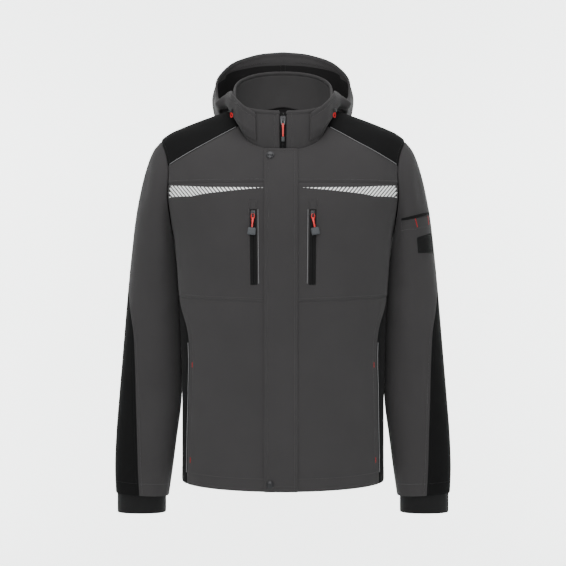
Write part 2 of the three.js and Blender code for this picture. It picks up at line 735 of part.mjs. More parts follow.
// Hood.
const HOOD_COLUMNS = ["seam", "drop", "low", "belly", "rim"];
function hoodSeam({ angle, out }) {
  const p = collarPoint(deg(angle), HOOD_SEAM_RISE);
  return p.add(V(p.x, p.y, 0).setLength(out)).toArray();
}
const hoodRows = HOOD.map((row, k) => {
  const flat = { k };
  for (const name of HOOD_COLUMNS) {
    const point = name === "seam" ? hoodSeam(row.seam) : row[name];
    ["x", "y", "z"].forEach((axis, i) => (flat[name + axis] = point[i]));
  }
  return flat;
});
const hoodCurves = HOOD_COLUMNS.map((name) =>
  ["x", "y", "z"].map((axis) => through(hoodRows, "k", name + axis)),
);
// A point of the hood at a station and a share of the way from its seam to its rim.
function hoodPoint(k, share) {
  const points = hoodCurves.map((curves) => V(...curves.map((curve) => curve(k))));
  return new THREE.CatmullRomCurve3(points, false, "centripetal").getPoint(share);
}
const HOOD_HEART = V(0, 95, 60); // the middle of the bowl
function hood() {
  const last = HOOD.length - 1;
  const columns = 19;
  const rows = 10;
  const grid = [];
  for (let i = 0; i <= rows; i++) {
    const row = [];
    for (let j = 0; j <= columns; j++) row.push(hoodPoint((j / columns) * last, i / rows));
    grid.push(row);
  }
  const normals = normalsOf(grid, (p) => p.clone().sub(HOOD_HEART));
  normals.forEach((row) => row[columns].setX(0).normalize());
  trim(grid, SEAM_GAP / 2, ["right"]);
  return wall(grid, normals, 0, -HOOD_THICK);
}
addPair("hood", hood(), "grey");

// The tape of the front zip runs up behind the fronts and then behind the collar's gap.
const TAPE_INSET = 4.8; // behind the fronts, so that the tape clears the collar's foot
const TAPE_FACE = -(COLLAR_THICK + 3 * SEAT);
const TAPE_LEVELS = {
  body: [HEM_Z + 1, -640, -560, -460, -364, -300, -232, -190, -160, -137, -118, -98, -76],
  collar: [0.06, 0.25, 0.5, 0.75, 0.97],
};
function frontTape() {
  const body = (z) => (x) => {
    const p = frontPoint(x, z);
    return { normal: torsoNormal(p), p: p.setY(p.y + TAPE_INSET) };
  };
  const upCollar = (rise) => (x) => {
    const angle = Math.sign(x) * angleAtX(COLLAR_TOP, Math.abs(x));
    return { normal: V(0, -1, 0), p: collarPoint(angle, rise) };
  };
  const rows = [...TAPE_LEVELS.body.map(body), ...TAPE_LEVELS.collar.map(upCollar)].map(
    (row) => [-TAPE_HALF, 0, TAPE_HALF].map(row),
  );
  return wall(
    rows.map((row) => row.map(({ p }) => p)),
    rows.map((row) => row.map(({ normal }) => normal)),
    TAPE_FACE,
    TAPE_FACE - TAPE_THICK,
  );
}
add("front_zip_tape", frontTape(), "zip");

// The flap's rows stand at the heights of the fronts' rows, so that it follows them.
function stormFlap() {
  const columns = 4;
  const levels = [HEM_Z];
  for (const [top, rows] of [
    [BELLY_SEAM_CENTRE_Z, STEPS.low],
    [CHEST_SEAM_Z, STEPS.mid + STEPS.midArm],
    [FLAP.top, STEPS.top],
  ]) {
    const bottom = levels[levels.length - 1];
    for (let i = 1; i <= rows; i++) levels.push(mix(bottom, top, i / rows));
  }
  const grid = levels.map((z) => {
    const row = [];
    for (let j = 0; j <= columns; j++) row.push(frontPoint(mix(FLAP.left, FLAP.right, j / columns), z));
    return row;
  });
  return torsoWall(grid, SEAT + FLAP.thick, SEAT);
}
add("storm_flap", stormFlap(), "grey");

// A place on the cloth, with x to the right, y up the cloth and z out of it.
function placeOn(point, normal, lift) {
  const out = normal.clone();
  const right = V(0, 0, 1).cross(out).negate().normalize();
  if (right.x < 0) right.negate();
  const up = out.clone().cross(right);
  const group = new THREE.Group();
  group.applyMatrix4(new THREE.Matrix4().makeBasis(right, up, out));
  group.position.copy(point).addScaledVector(out, lift);
  jacket.add(group);
  return group;
}
const onTorso = (x, z, lift) => {
  const p = frontPoint(x, z);
  return placeOn(p, torsoNormal(p), lift);
};

// Snap caps on the flap.
function snapCap() {
  const { radius, height } = SNAP;
  const rim = 0.8;
  const profile = [
    [0, 0], [radius - 0.6, 0], [radius, 0.5], [radius, 1.1], [radius - rim, 1.7],
    [radius - 2, 1.8], [radius - 3.5, height - 0.4], [0, height],
  ];
  const lathe = new THREE.LatheGeometry(profile.map(([x, y]) => new THREE.Vector2(x, y)), 14);
  return lathe.rotateX(Math.PI / 2);
}
for (const [name, z] of [["snap_top", SNAP.topZ], ["snap_hem", SNAP.bottomZ]]) {
  add(name, snapCap(), "snap", onTorso(SNAP.x, z, FLAP.thick + 2 * SEAT));
}

// Chest pocket zips.
const chestX = (z) =>
  mix(CHEST_ZIP.topX, CHEST_ZIP.bottomX, (CHEST_ZIP.topZ - z) / (CHEST_ZIP.topZ - CHEST_ZIP.bottomZ));
function chestStrip(half, fromZ, toZ, thick, rows) {
  const grid = [];
  for (let i = 0; i <= rows; i++) {
    const z = mix(fromZ, toZ, i / rows);
    grid.push([-half, 0, half].map((dx) => frontPoint(chestX(z) + dx, z)));
  }
  return torsoWall(grid, SEAT + thick, SEAT);
}
addPair(
  "chest_zip",
  chestStrip(CHEST_ZIP.half, CHEST_ZIP.bottomZ, CHEST_ZIP.topZ, CHEST_ZIP.thick, 10),
  "zip",
);
addPair(
  "zip_garage",
  chestStrip(GARAGE.half, CHEST_ZIP.topZ + SEAM_GAP, CHEST_ZIP.topZ + GARAGE.height, GARAGE.thick, 2),
  "grey",
);

// Piping: a thin cord that stands on the cloth along a curve.
function piping(curve, normal, steps, sides = 6) {
  const lift = PIPING_DIAMETER / 2 + SEAT;
  const points = [];
  for (let i = 0; i <= steps; i++) {
    const p = curve(i / steps);
    points.push(p.clone().addScaledVector(normal(p), lift));
  }
  const path = new THREE.CatmullRomCurve3(points);
  const section = new THREE.Shape();
  for (let i = 0; i < sides; i++) {
    const angle = (i / sides) * 2 * Math.PI;
    const [x, y] = [Math.cos(angle), Math.sin(angle)].map((c) => (c * PIPING_DIAMETER) / 2);
    if (i) section.lineTo(x, y);
    else section.moveTo(x, y);
  }
  section.closePath();
  return new THREE.ExtrudeGeometry(section, { steps, extrudePath: path, bevelEnabled: false });
}
// Extruded geometry has no index, so its mirrored copy is turned here.
function addPipingPair(name, geometry) {
  add(name + "_l", geometry, "reflective");
  const copy = geometry.clone();
  copy.scale(-1, 1, 1);
  const position = copy.getAttribute("position");
  for (let i = 0; i < position.count; i += 3) {
    const [b, c] = [i + 1, i + 2].map((k) => V(0, 0, 0).fromBufferAttribute(position, k));
    position.setXYZ(i + 1, c.x, c.y, c.z);
    position.setXYZ(i + 2, b.x, b.y, b.z);
  }
  add(name + "_r", copy, "reflective");
}
const YOKE_PIPING_ENDS = [0.03, 0.97];
addPipingPair("yoke_piping", piping((s) => yokeSeam(mix(...YOKE_PIPING_ENDS, s)), torsoNormal, 12));
addPipingPair(
  "chest_piping",
  piping((s) => {
    const z = mix(CHEST_ZIP.bottomZ + 2, CHEST_ZIP.topZ, s);
    return frontPoint(chestX(z) - CHEST_PIPING_SIDE, z);
  }, torsoNormal, 8),
);
const POCKET_PIPING_Z = [-700, -446];
addPipingPair(
  "pocket_piping",
  piping(sideSeam(SIDE_SEAM_FRONT, ...POCKET_PIPING_Z), torsoNormal, 14),
);

// Sleeve pocket zip and the blank patch under it, on the wearer's left sleeve only.
function sleeveStrip(rowAt, halfRows, from, to, thick, columns, rows) {
  const grid = [];
  for (let i = 0; i <= rows; i++) {
    const row = [];
    for (let j = 0; j <= columns; j++) {
      const share = j / columns;
      const k = rowAt(share) + mix(halfRows, -halfRows, i / rows);
      row.push(sleevePoint(k, deg(mix(from, to, share))));
    }
    grid.push(row);
  }
  const normals = normalsOf(grid, (p) => p.clone().sub(sleeveAxis(rowAt(0.5))));
  return wall(grid, normals, SEAT + thick, SEAT);
}
const SLEEVE_ROW_LENGTH = 34; // of one sleeve row near the pocket
const sleeveZipRow = through(SLEEVE_ZIP_PATH, "angle", "row");
const SLEEVE_ZIP_FROM = SLEEVE_ZIP_PATH[5].angle;
const SLEEVE_ZIP_TO = SLEEVE_ZIP_PATH[0].angle;
const sleevePatchRow = through(SLEEVE_PATCH_PATH, "angle", "row");
const SLEEVE_PATCH_FROM = SLEEVE_PATCH_PATH[3].angle;
const SLEEVE_PATCH_TO = SLEEVE_PATCH_PATH[0].angle;
add(
  "sleeve_zip",
  sleeveStrip(
    (share) => sleeveZipRow(mix(SLEEVE_ZIP_FROM, SLEEVE_ZIP_TO, share)),
    SLEEVE_ZIP.half / SLEEVE_ROW_LENGTH,
    SLEEVE_ZIP_FROM, SLEEVE_ZIP_TO, SLEEVE_ZIP.thick, 14, 1,
  ),
  "zip",
);
add(
  "sleeve_patch",
  sleeveStrip(
    (share) => sleevePatchRow(mix(SLEEVE_PATCH_FROM, SLEEVE_PATCH_TO, share)),
    SLEEVE_PATCH.halfRows,
    SLEEVE_PATCH_FROM, SLEEVE_PATCH_TO, SLEEVE_PATCH.thick, 6, 4,
  ),
  "black",
);

// Solids joined or cut with booleans.
function toSolid(geometry) {
  const flat = geometry.index ? geometry.toNonIndexed() : geometry;
  const position = flat.getAttribute("position");
  const seen = new Map();
  const points = [];
  const triangles = [];
  for (let i = 0; i < position.count; i++) {
    const p = [position.getX(i), position.getY(i), position.getZ(i)];
    const key = p.map((c) => Math.round(c * 1e4)).join();
    if (!seen.has(key)) {
      seen.set(key, points.length / 3);
      points.push(...p);
    }
    triangles.push(seen.get(key));
  }
  const kept = [];
  for (let i = 0; i < triangles.length; i += 3) {
    const [a, b, c] = triangles.slice(i, i + 3);
    if (a !== b && b !== c && c !== a) kept.push(a, b, c);
  }
  return new wasm.Manifold(
    new wasm.Mesh({
      numProp: 3,
      vertProperties: new Float32Array(points),
      triVerts: new Uint32Array(kept),
    }),
  );
}
function toGeometry(solid) {
  const mesh = solid.getMesh();
  const geometry = new THREE.BufferGeometry();
  geometry.setAttribute("position", new THREE.BufferAttribute(new Float32Array(mesh.vertProperties), 3));
  geometry.setIndex(new THREE.BufferAttribute(new Uint32Array(mesh.triVerts), 1));
  geometry.computeVertexNormals();
  return geometry;
}
const joined = (...geometries) =>
  toGeometry(geometries.map(toSolid).reduce((sum, solid) => sum.add(solid)));

// A flat plate from an outline of [x, y] points, between two heights.
function plate(outline, fromZ, toZ, hole) {
  const shape = new THREE.Shape(outline.map(([x, y]) => new THREE.Vector2(x, y)));
  if (hole) shape.holes.push(new THREE.Path(hole.map(([x, y]) => new THREE.Vector2(x, y))));
  const depth = toZ - fromZ;
  return new THREE.ExtrudeGeometry(shape, { depth, bevelEnabled: false }).translate(0, 0, fromZ);
}

// Zip slider and its pull. The pull's bar lies at the local origin, inside the slider's
// bridge, and the pull hangs down from it. Sizes scale with the slider.
const SLIDER = { half: 4.6, up: 5, down: 8, body: 2.1, bridgeHalf: 1.3, bridgeUp: 3, bridgeDown: 4 };
const PIN_HEIGHT = 1.7; // of the bar over the slider's body
const BAR = 0.6; // radius of the bar and arms of the pull
const BRIDGE_WALL = 0.9;

function slider(scale) {
  const { half, up, down, body, bridgeHalf, bridgeUp, bridgeDown } = SLIDER;
  const s = scale;
  const shoulder = half * 0.72;
  const outline = [
    [-half * s, up * s], [-shoulder * s, (up + 1) * s], [shoulder * s, (up + 1) * s],
    [half * s, up * s], [half * s, -2 * s], [shoulder * s, -down * s],
    [-shoulder * s, -down * s], [-half * s, -2 * s],
  ];
  const base = plate(outline, -PIN_HEIGHT - body, -PIN_HEIGHT);
  // The bridge is drawn in the plane of its height and the zip's length.
  const roof = PIN_HEIGHT + BRIDGE_WALL;
  const arch = [
    [-bridgeDown, -PIN_HEIGHT - 0.3], [bridgeUp, -PIN_HEIGHT - 0.3],
    [bridgeUp, roof - 1], [bridgeUp - 1, roof], [-bridgeDown + 1, roof], [-bridgeDown, roof - 1],
  ];
  const window = [
    [-bridgeDown + 0.9, -PIN_HEIGHT + 0.3], [-bridgeDown + 0.9, PIN_HEIGHT - 0.4],
    [bridgeUp - 0.9, PIN_HEIGHT - 0.4], [bridgeUp - 0.9, -PIN_HEIGHT + 0.3],
  ];
  const bridge = plate(arch, -bridgeHalf, bridgeHalf, window);
  bridge.applyMatrix4(new THREE.Matrix4().makeBasis(V(0, 1, 0), V(0, 0, 1), V(1, 0, 0)));
  return joined(base, bridge);
}

// A round bar between two points of the local frame.
function bar(from, to, radius, sides = 8) {
  const axis = to.clone().sub(from);
  const made = new THREE.CylinderGeometry(radius, radius, axis.length(), sides);
  made.applyQuaternion(new THREE.Quaternion().setFromUnitVectors(V(0, 1, 0), axis.clone().normalize()));
  return made.translate(...from.clone().add(to).multiplyScalar(0.5).toArray());
}
const RING = { halfTop: 2.6, halfBottom: 3.4, length: 11 };
function pullRing() {
  const { halfTop, halfBottom, length } = RING;
  return joined(
    bar(V(-halfTop, 0, 0), V(halfTop, 0, 0), BAR),
    bar(V(-halfTop, BAR * 0.5, 0), V(-halfBottom, -length, 0), BAR),
    bar(V(halfTop, BAR * 0.5, 0), V(halfBottom, -length, 0), BAR),
    bar(V(-halfBottom - BAR * 0.4, -length, 0), V(halfBottom + BAR * 0.4, -length, 0), BAR * 1.15),
  );
}

// Turns a part of a pull about the ring's lower end, in the plane of the zip.
const askew = (geometry, slant) =>
  geometry.translate(0, RING.length, 0).rotateZ(slant).translate(0, -RING.length, 0);

// The red grip wraps the ring's bottom bar with a slot and narrows to a stem.
function pullGrip(length, slant) {
  const start = -RING.length + 3.4;
  const outline = [
    [-1.3, start], [1.3, start], [1.9, start - 2], [2.1, -RING.length - 3],
    [1.7, -length], [-1.7, -length], [-2.1, -RING.length - 3], [-1.9, start - 2],
  ];
  const slotHalf = BAR * 1.15 + 0.35;
  const body = toSolid(askew(plate(outline, -1.4, 1.4), slant));
  const slot = toSolid(bar(V(-4, -RING.length, 0), V(4, -RING.length, 0), slotHalf));
  return toGeometry(body.subtract(slot));
}
function pullTip(top, half, length, slant) {
  const c = 2.2; // corner cut
  const outline = [
    [-half + c, top], [half - c, top], [half, top - c], [half, top - length + c],
    [half - c, top - length], [-half + c, top - length], [-half, top - length + c], [-half, top - c],
  ];
  return askew(plate(outline, -1.6, 1.6), slant);
}

// Each zip: where its slider sits, how large it is and how its pull's end is shaped.
const SLIDER_SEAT = SEAT + CHEST_ZIP.thick + SEAT + SLIDER.body + PIN_HEIGHT;
const CHEST_PULL = { grip: 27, tipHalf: 8, tipLength: 14, slider: 1 };
const FRONT_PULL = { grip: 33, tipHalf: 3.6, tipLength: 10, slider: 1.25 };
function dressZip(name, place, { grip, tipHalf, tipLength, slider: scale }, slant) {
  add(name + "_slider", slider(scale), "metal", place);
  add(name + "_ring", pullRing(), "metal", place);
  add(name + "_grip", pullGrip(grip, slant), "red", place);
  add(name + "_tip", pullTip(-grip - SEAM_GAP, tipHalf, tipLength, slant), "rubber", place);
}
const CHEST_SLIDER_Z = CHEST_ZIP.topZ - 8;
// The pulls hang a little askew in their rings, away from the front zip.
for (const [side, sign, slant] of [["l", 1, deg(10)], ["r", -1, deg(-5)]]) {
  const place = onTorso(sign * chestX(CHEST_SLIDER_Z), CHEST_SLIDER_Z, SLIDER_SEAT);
  dressZip("chest_" + side, place, CHEST_PULL, slant);
}
// The front zip's slider rides on its tape, near the top of the collar.
const COLLAR_SLIDER_RISE = 0.78;
const collarFront = (rise) => collarPoint(0, rise);
const collarUp = collarFront(1).sub(collarFront(0.3)).normalize();
const collarOut = V(1, 0, 0).cross(collarUp).normalize();
const frontPlace = placeOn(
  collarFront(COLLAR_SLIDER_RISE),
  collarOut,
  TAPE_FACE + 2.5 * SEAT + SLIDER.body + PIN_HEIGHT,
);
dressZip("front", frontPlace, FRONT_PULL, 0);

// Ends of the hood's drawcord on its front ends: a stopper with a red loop under it.
const STOPPER = { radius: 3.6, half: 4 };
function stopper() {
  const { radius, half } = STOPPER;
  const profile = [
    [0, -half], [radius * 0.6, -half], [radius * 0.9, -half * 0.6], [radius, 0],
    [radius * 0.9, half * 0.6], [radius * 0.6, half], [0, half],
  ];
  return new THREE.LatheGeometry(profile.map(([x, y]) => new THREE.Vector2(x, y)), 12);
}
function cordLoop() {
  const { loopRadius, cordRadius } = CORD_END;
  const drop = STOPPER.half + SEAT + loopRadius + cordRadius;
  return new THREE.TorusGeometry(loopRadius, cordRadius, 6, 14).translate(0, -drop, -1.6);
}
for (const [side, sign] of [["l", 1], ["r", -1]]) {
  const { station, share } = CORD_END;
  const h = 0.02;
  const p = hoodPoint(station, share);
  const n = hoodPoint(station, share + h).sub(p).cross(hoodPoint(station + h, share).sub(p));
  if (n.x < 0) n.negate();
  const place = placeOn(
    V(sign * p.x, p.y, p.z),
    V(sign * n.x, n.y, 0).normalize(),
    STOPPER.radius + CORD_END.lift,
  );
  add("cord_stopper_" + side, stopper(), "rubber", place);
  add("cord_loop_" + side, cordLoop(), "red", place);
}

export default jacket;
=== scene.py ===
"""A hooded softshell work jacket, filled out as if worn, in a pale studio."""

import math

import bpy
import numpy as np
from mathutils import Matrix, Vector


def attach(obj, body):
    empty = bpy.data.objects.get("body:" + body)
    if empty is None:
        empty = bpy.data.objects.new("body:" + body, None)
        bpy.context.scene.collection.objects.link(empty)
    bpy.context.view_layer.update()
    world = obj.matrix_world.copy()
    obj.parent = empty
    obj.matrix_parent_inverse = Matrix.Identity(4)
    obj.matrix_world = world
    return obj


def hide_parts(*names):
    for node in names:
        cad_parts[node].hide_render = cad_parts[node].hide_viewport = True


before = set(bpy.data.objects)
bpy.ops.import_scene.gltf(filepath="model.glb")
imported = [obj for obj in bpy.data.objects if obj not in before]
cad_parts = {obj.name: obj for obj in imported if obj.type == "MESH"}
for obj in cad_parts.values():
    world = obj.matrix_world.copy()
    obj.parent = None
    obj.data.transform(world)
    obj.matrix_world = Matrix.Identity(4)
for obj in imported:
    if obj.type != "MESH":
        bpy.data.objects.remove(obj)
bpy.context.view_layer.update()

MM = 0.001
CLOTH = 1.8
SEAT = 0.3
FLIP = np.array([-1, 1, 1])
ZIP_HALF_GAP = 7.7
HEM_Z = -728
HEM_RISE_AT_SIDE = 7

# Torso sections: height, half width, depth to front and back, squareness.
TORSO = np.array(
    [
        (-760, 201, 134, 124, 2.4),
        (-640, 201, 132, 122, 2.4),
        (-560, 201, 132, 120, 2.4),
        (-460, 203, 134, 120, 2.45),
        (-364, 207, 137, 124, 2.5),
        (-300, 211, 140, 128, 2.5),
        (-232, 218, 139, 131, 2.6),
        (-160, 238, 131, 129, 2.6),
        (-110, 243, 116, 121, 2.5),
        (-72, 245, 98, 111, 2.4),
        (-46, 242, 79, 101, 2.3),
        (-32, 226, 70, 95, 2.2),
        (-20, 200, 62, 90, 2.1),
        (-8, 170, 54, 85, 2.1),
        (3, 140, 46, 80, 2.0),
        (19, 95, 34, 72, 2.0),
        (32, 58, 24, 65, 2.1),
    ]
)

# Ovals seen from above: half width, depth to front and back, squareness of each end.
NECK = (98, 98, 66, 2.7, 2.2)
COLLAR_TOP = (98, 95, 75, 3, 2.2)
COLLAR_TOP_FRONT_Z = 2
COLLAR_TOP_BACK_Z = 102
COLLAR_THICK = 3
COLLAR_BULGE = 2.5
COLLAR_TUCK = 2

# Armhole seen from the side: middle and half sizes, and the angles where seams meet it.
ARM_Y, ARM_Z, ARM_HALF_Y, ARM_HALF_Z = 8, -139, 70, 93
RIDGE, YOKE_FRONT, CHEST_END, SIDE_FRONT, SIDE_BACK, YOKE_BACK = np.radians(
    [6.6, 65.2, 88.8, 151.9, 209.1, 286.9]
)
CHEST_SEAM_Z = -137
BELLY_CENTRE_Z = -367
BELLY_SIDE_Z = -356
YOKE_NECK_X = 88

# Side seams: height, depth.
SIDE_SEAM_FRONT = np.array(
    [(-760, -59), (-614, -62), (-544, -66), (-462, -72), (-412, -66), (-356, -30), (-300, -23), (-220, -25)]
)
SIDE_SEAM_BACK = np.array(
    [(-760, 60), (-544, 64), (-462, 66), (-412, 62), (-356, 48), (-300, 42), (-219, 42)]
)

# Sleeve sections: outer point x, z, inner point x, z, front, back, seam angle.
SLEEVE = np.array(
    [
        (242, -46, 219, -232, -62, 78, -62),
        (260, -68, 219.6, -240, -64, 82, -54),
        (275, -108, 217.4, -254, -64, 86, -44),
        (287, -156, 214.7, -274, -61, 91, -34),
        (296, -204, 212.2, -298, -55, 93, -22),
        (303, -262, 209.9, -330, -51, 92, -6),
        (310, -330, 207.4, -376, -47, 89, 16),
        (317, -410, 204.7, -438, -43, 85, 50),
        (323, -484, 202.9, -502, -41, 78, 61),
        (329, -560, 204.2, -570, -41, 69, 68),
        (334, -630, 212.5, -636, -41, 59, 76),
        (336, -695, 220.5, -700, -40, 49, 82),
        (334, -747, 228, -753, -38, 41, 87),
    ]
)
SLEEVE_SQUARE = 2.3
SLEEVE_LIFT = 0.9
# Sleeve pocket zip and patch: angle, row.
SLEEVE_ZIP_PATH = np.array([(26, 3.69), (44, 3.545), (68, 3.16), (92, 2.59), (104, 2.2), (116, 1.68)])
SLEEVE_PATCH_PATH = np.array([(33, 4.73), (48, 4.64), (63, 4.505), (78, 4.33)])
HEAD_ROWS = 4
UNDERARM = 200
CUFF_OUT, CUFF_IN, CUFF_FRONT, CUFF_BACK, CUFF_ROW, CUFF_START = 331, 233.5, -33, 36, 11.8, -736
CUFF_LEVELS = (-740, -744, -748, -752, -756, -761, -766, -771, -776, -780, -783, -785, -786)

# Hood stations: angle round the collar and distance out of the seam, then the drop,
# lowest point, belly and rim.
HOOD = [
    (29.6, 2.7, (54, -95.5, -38), (54, -95.5, -26), (54, -95, -14), (54, -94, -2)),
    (43.2, 2.7, (80, -85, -26), (80.5, -85, -12), (80.5, -84.5, 2), (79.5, -83, 16)),
    (59.8, 2.7, (100, -58, -2), (101, -57, 11), (101, -56, 24), (99, -54, 38)),
    (75.1, 1.6, (109, -27, 19), (114, -27, 25), (115, -25, 38), (104.5, -21, 51)),
    (91.7, 1.0, (116, 2, 20), (129, 0, 18), (136, 0, 30), (121, 6, 39)),
    (110, 0.9, (116, 28, 18), (129, 32, 11), (139, 36, 34), (134, 32, 48)),
    (124.5, 0.9, (112, 60, 14), (135, 82, 4), (144.5, 84, 45), (134, 68, 88)),
    (143.1, 0.9, (88, 92, -2), (116, 124, -34), (127, 146, 42), (107, 105, 124)),
    (161.2, 0.9, (46, 101, -14), (60, 138, -58), (69, 176, 36), (56, 130, 146.5)),
    (180, 0.9, (0, 105, -18), (0, 142, -66), (0, 186, 32), (0, 140, 154)),
]
HOOD_SEAM_RISE = 0.13
HOOD_THICK = 1.8
# Hood station and the width of the facing inside the rim, the band whose lighter colour is painted light.
FACING = [(3, 90), (4.2, 15), (6, 16), (7.5, 19), (9, 23)]
FACING_THICK = 0.7

FLAP_LEFT, FLAP_RIGHT, FLAP_TOP, FLAP_THICK = -35.5, 28, -71.5, 2.6
CHEST_TOP_X, CHEST_BOTTOM_X, CHEST_TOP_Z, CHEST_BOTTOM_Z = 57, 55.5, -190, -333
PIPING_RADIUS = 0.75
TAPE_FACE = -(COLLAR_THICK + 3 * SEAT)
# Heights between which the front slider hides the teeth.
SLIDER_LOW, SLIDER_HIGH = -30, -8
# Distances from a hem and from a seam to their stitches.
HEM_STITCH, SEAM_STITCH = 24, 6
# Turns of a wall's rounded edge, from its outside to its inside.
RIM_TURNS = (0.5, 1.0, 1.5, 2.1, 2.64)
# Blender's wave texture repeats at this length for a scale of 1.
WAVE_UNIT = math.pi / 10


def through(rows, of):
    """A smooth function through column of against the first column."""
    x, y = rows[:, 0], rows[:, of]
    last = len(x) - 1
    low = np.maximum(np.arange(last + 1) - 1, 0)
    high = np.minimum(np.arange(last + 1) + 1, last)
    slope = (y[high] - y[low]) / (x[high] - x[low])

    def value(v):
        v = np.asarray(v, float)
        i = np.clip(np.searchsorted(x, v) - 1, 0, last - 1)
        step = x[i + 1] - x[i]
        t = (v - x[i]) / step
        t2, t3 = t * t, t * t * t
        inside = (
            (2 * t3 - 3 * t2 + 1) * y[i]
            + (t3 - 2 * t2 + t) * step * slope[i]
            + (3 * t2 - 2 * t3) * y[i + 1]
            + (t3 - t2) * step * slope[i + 1]
        )
        below = y[0] + slope[0] * (v - x[0])
        above = y[last] + slope[last] * (v - x[last])
        return np.where(t < 0, below, np.where(t > 1, above, inside))

    return value


half, front, back, square = (through(TORSO, i) for i in range(1, 5))


def mix(a, b, t):
    return a + (b - a) * t


def clamp(x):
    return np.clip(x, 0, 1)


def bell(x, width):
    """A soft bump: 1 where x is 0, and next to nothing beyond twice the width."""
    return np.exp(-((x / width) ** 2))


def rounded(angle, n):
    """Sine and cosine, pushed out from a circle of radius 1 to a superellipse."""
    s, c = np.sin(angle), np.cos(angle)
    r = (np.abs(s) ** n + np.abs(c) ** n) ** (-1 / n)
    return r * s, r * c


def deep(y, z):
    """The torso's depth at a height, to the front where y is below 0, or to the back."""
    return np.where(np.asarray(y) < 0, front(z), back(z))


def point(x, y, z):
    return np.stack(np.broadcast_arrays(*(np.asarray(c, float) for c in (x, y, z))), -1)


def unit(v):
    return v / np.maximum(np.linalg.norm(v, axis=-1, keepdims=True), 1e-12)


def outward(p):
    """The level direction away from the body's axis."""
    return unit(p * [1, 1, 0])


def turned_to(n, way):
    """Normals turned to the side that way points to."""
    return np.where(np.sum(n * way, -1, keepdims=True) < 0, -n, n)


def grid_normal(p):
    return unit(np.cross(np.gradient(p, axis=1), np.gradient(p, axis=0)))


def torso_field(p):
    """Below 1 inside the torso, above 1 outside."""
    x, y, z = p[..., 0], p[..., 1], p[..., 2]
    n = square(z)
    with np.errstate(all="ignore"):
        return (np.abs(x) / half(z)) ** n + (np.abs(y) / deep(y, z)) ** n


def other(share, n):
    """The share of one half axis of a superellipse where the other has this share."""
    return np.maximum(0, 1 - np.abs(share) ** n) ** (1 / n)


def wrap(angle, z):
    """A point of the torso at a height, and at an angle from the front to the wearer's left."""
    angle, z = np.broadcast_arrays(np.asarray(angle, float), np.asarray(z, float))
    s, c = rounded(angle, square(z))
    return point(half(z) * s, -deep(-c, z) * c, z)


def front_point(x, z):
    return point(x, -front(z) * other(x / half(z), square(z)), z)


def side_point(y, z):
    return point(half(z) * other(y / deep(y, z), square(z)), y, z)


def angle_of(p):
    return np.arctan2(p[..., 0] / half(p[..., 2]), -p[..., 1] / deep(p[..., 1], p[..., 2]))


HALVINGS = 40
# The search for the torso's top starts under its last section and stops at the chest.
SEARCH_TOP, SEARCH_LOW, SEARCH_STEP = 31.0, -300, 2
# Rays onto the torso start on its axis, and above the chest all from one place.
AXIS_TOP = -160


def top_point(x, y):
    """The torso's highest point over x and y."""
    x, y = np.broadcast_arrays(np.asarray(x, float), np.asarray(y, float))
    high = np.full(x.shape, SEARCH_TOP)
    while True:
        out = torso_field(point(x, y, high)) > 1
        if not out.any() or high.min() < SEARCH_LOW:
            break
        high = np.where(out, high - SEARCH_STEP, high)
    low, high = high, high + SEARCH_STEP
    for _ in range(HALVINGS):
        z = (low + high) / 2
        inside = torso_field(point(x, y, z)) < 1
        low, high = np.where(inside, z, low), np.where(inside, high, z)
    return point(x, y, low)


def project(p):
    """Moves points out or in from the torso's axis, onto its surface."""
    axis = point(0, 0, np.minimum(p[..., 2], AXIS_TOP))
    ray = p - axis
    low, high = np.full(p.shape[:-1], 0.4), np.full(p.shape[:-1], 1.8)
    for _ in range(HALVINGS):
        k = (low + high) / 2
        inside = torso_field(axis + ray * k[..., None]) < 1
        low, high = np.where(inside, k, low), np.where(inside, high, k)
    return axis + ray * low[..., None]


def torso_normal(p):
    h = 0.5 * np.eye(3)
    return unit(np.stack([torso_field(p + d) - torso_field(p - d) for d in h], -1))


def oval(shape, angle):
    """x and y on an oval seen from above, at an angle from its front."""
    s, c = rounded(angle, np.where(np.cos(angle) > 0, shape[3], shape[4]))
    return shape[0] * s, -np.where(c > 0, shape[1], shape[2]) * c


def neck_point(angle):
    return top_point(*oval(NECK, angle))


def arm_point(angle):
    """A point of the armhole, from its top round the front."""
    return side_point(ARM_Y - ARM_HALF_Y * np.sin(angle), ARM_Z + ARM_HALF_Z * np.cos(angle))


def hem_z(angle):
    return HEM_Z + HEM_RISE_AT_SIDE * np.sin(angle) ** 2


def angle_at_x(shape, x):
    angles = np.linspace(0, math.pi / 2, 4001)
    return float(np.interp(x, oval(shape, angles)[0], angles))


def along(curve, a, b):
    return lambda s: curve(mix(a, b, s))


def join(first, share, second):
    """Two curves end to end, the first over a share of the way."""

    def curve(s):
        s = np.asarray(s, float)
        f, g = first(clamp(s / share)), second(clamp((s - share) / (1 - share)))
        return np.where((s < share)[..., None], f, g)

    return curve


def around(a, b):
    return lambda s: wrap(mix(angle_of(a), angle_of(b), s), mix(a[2], b[2], s))


def side_seam(table, z0, z1):
    depth = through(table, 1)
    return lambda s: side_point(depth(mix(z0, z1, s)), mix(z0, z1, s))


def on_right(curve):
    return lambda s: curve(s) * FLIP


def across(curve):
    """A curve from the middle to the left, with its mirror image before it."""

    def both(s):
        s = np.asarray(s, float)
        p = curve(np.abs(2 * s - 1))
        return np.where((s < 0.5)[..., None], p * FLIP, p)

    return both


STEPS = dict(neck=4, ridge=5, low=8, mid=5, midArm=5, top=5, yoke=5, backArm=4, side=5)
HALF = STEPS["neck"] + STEPS["ridge"]
SIDE_ROWS = STEPS["low"] + STEPS["mid"]
neck_zip, neck_yoke = angle_at_x(NECK, ZIP_HALF_GAP), angle_at_x(NECK, YOKE_NECK_X)
neck_zip_z = float(neck_point(neck_zip)[2])


def seam_angle(table):
    return float(angle_of(side_point(through(table, 1)(HEM_Z), HEM_Z)))


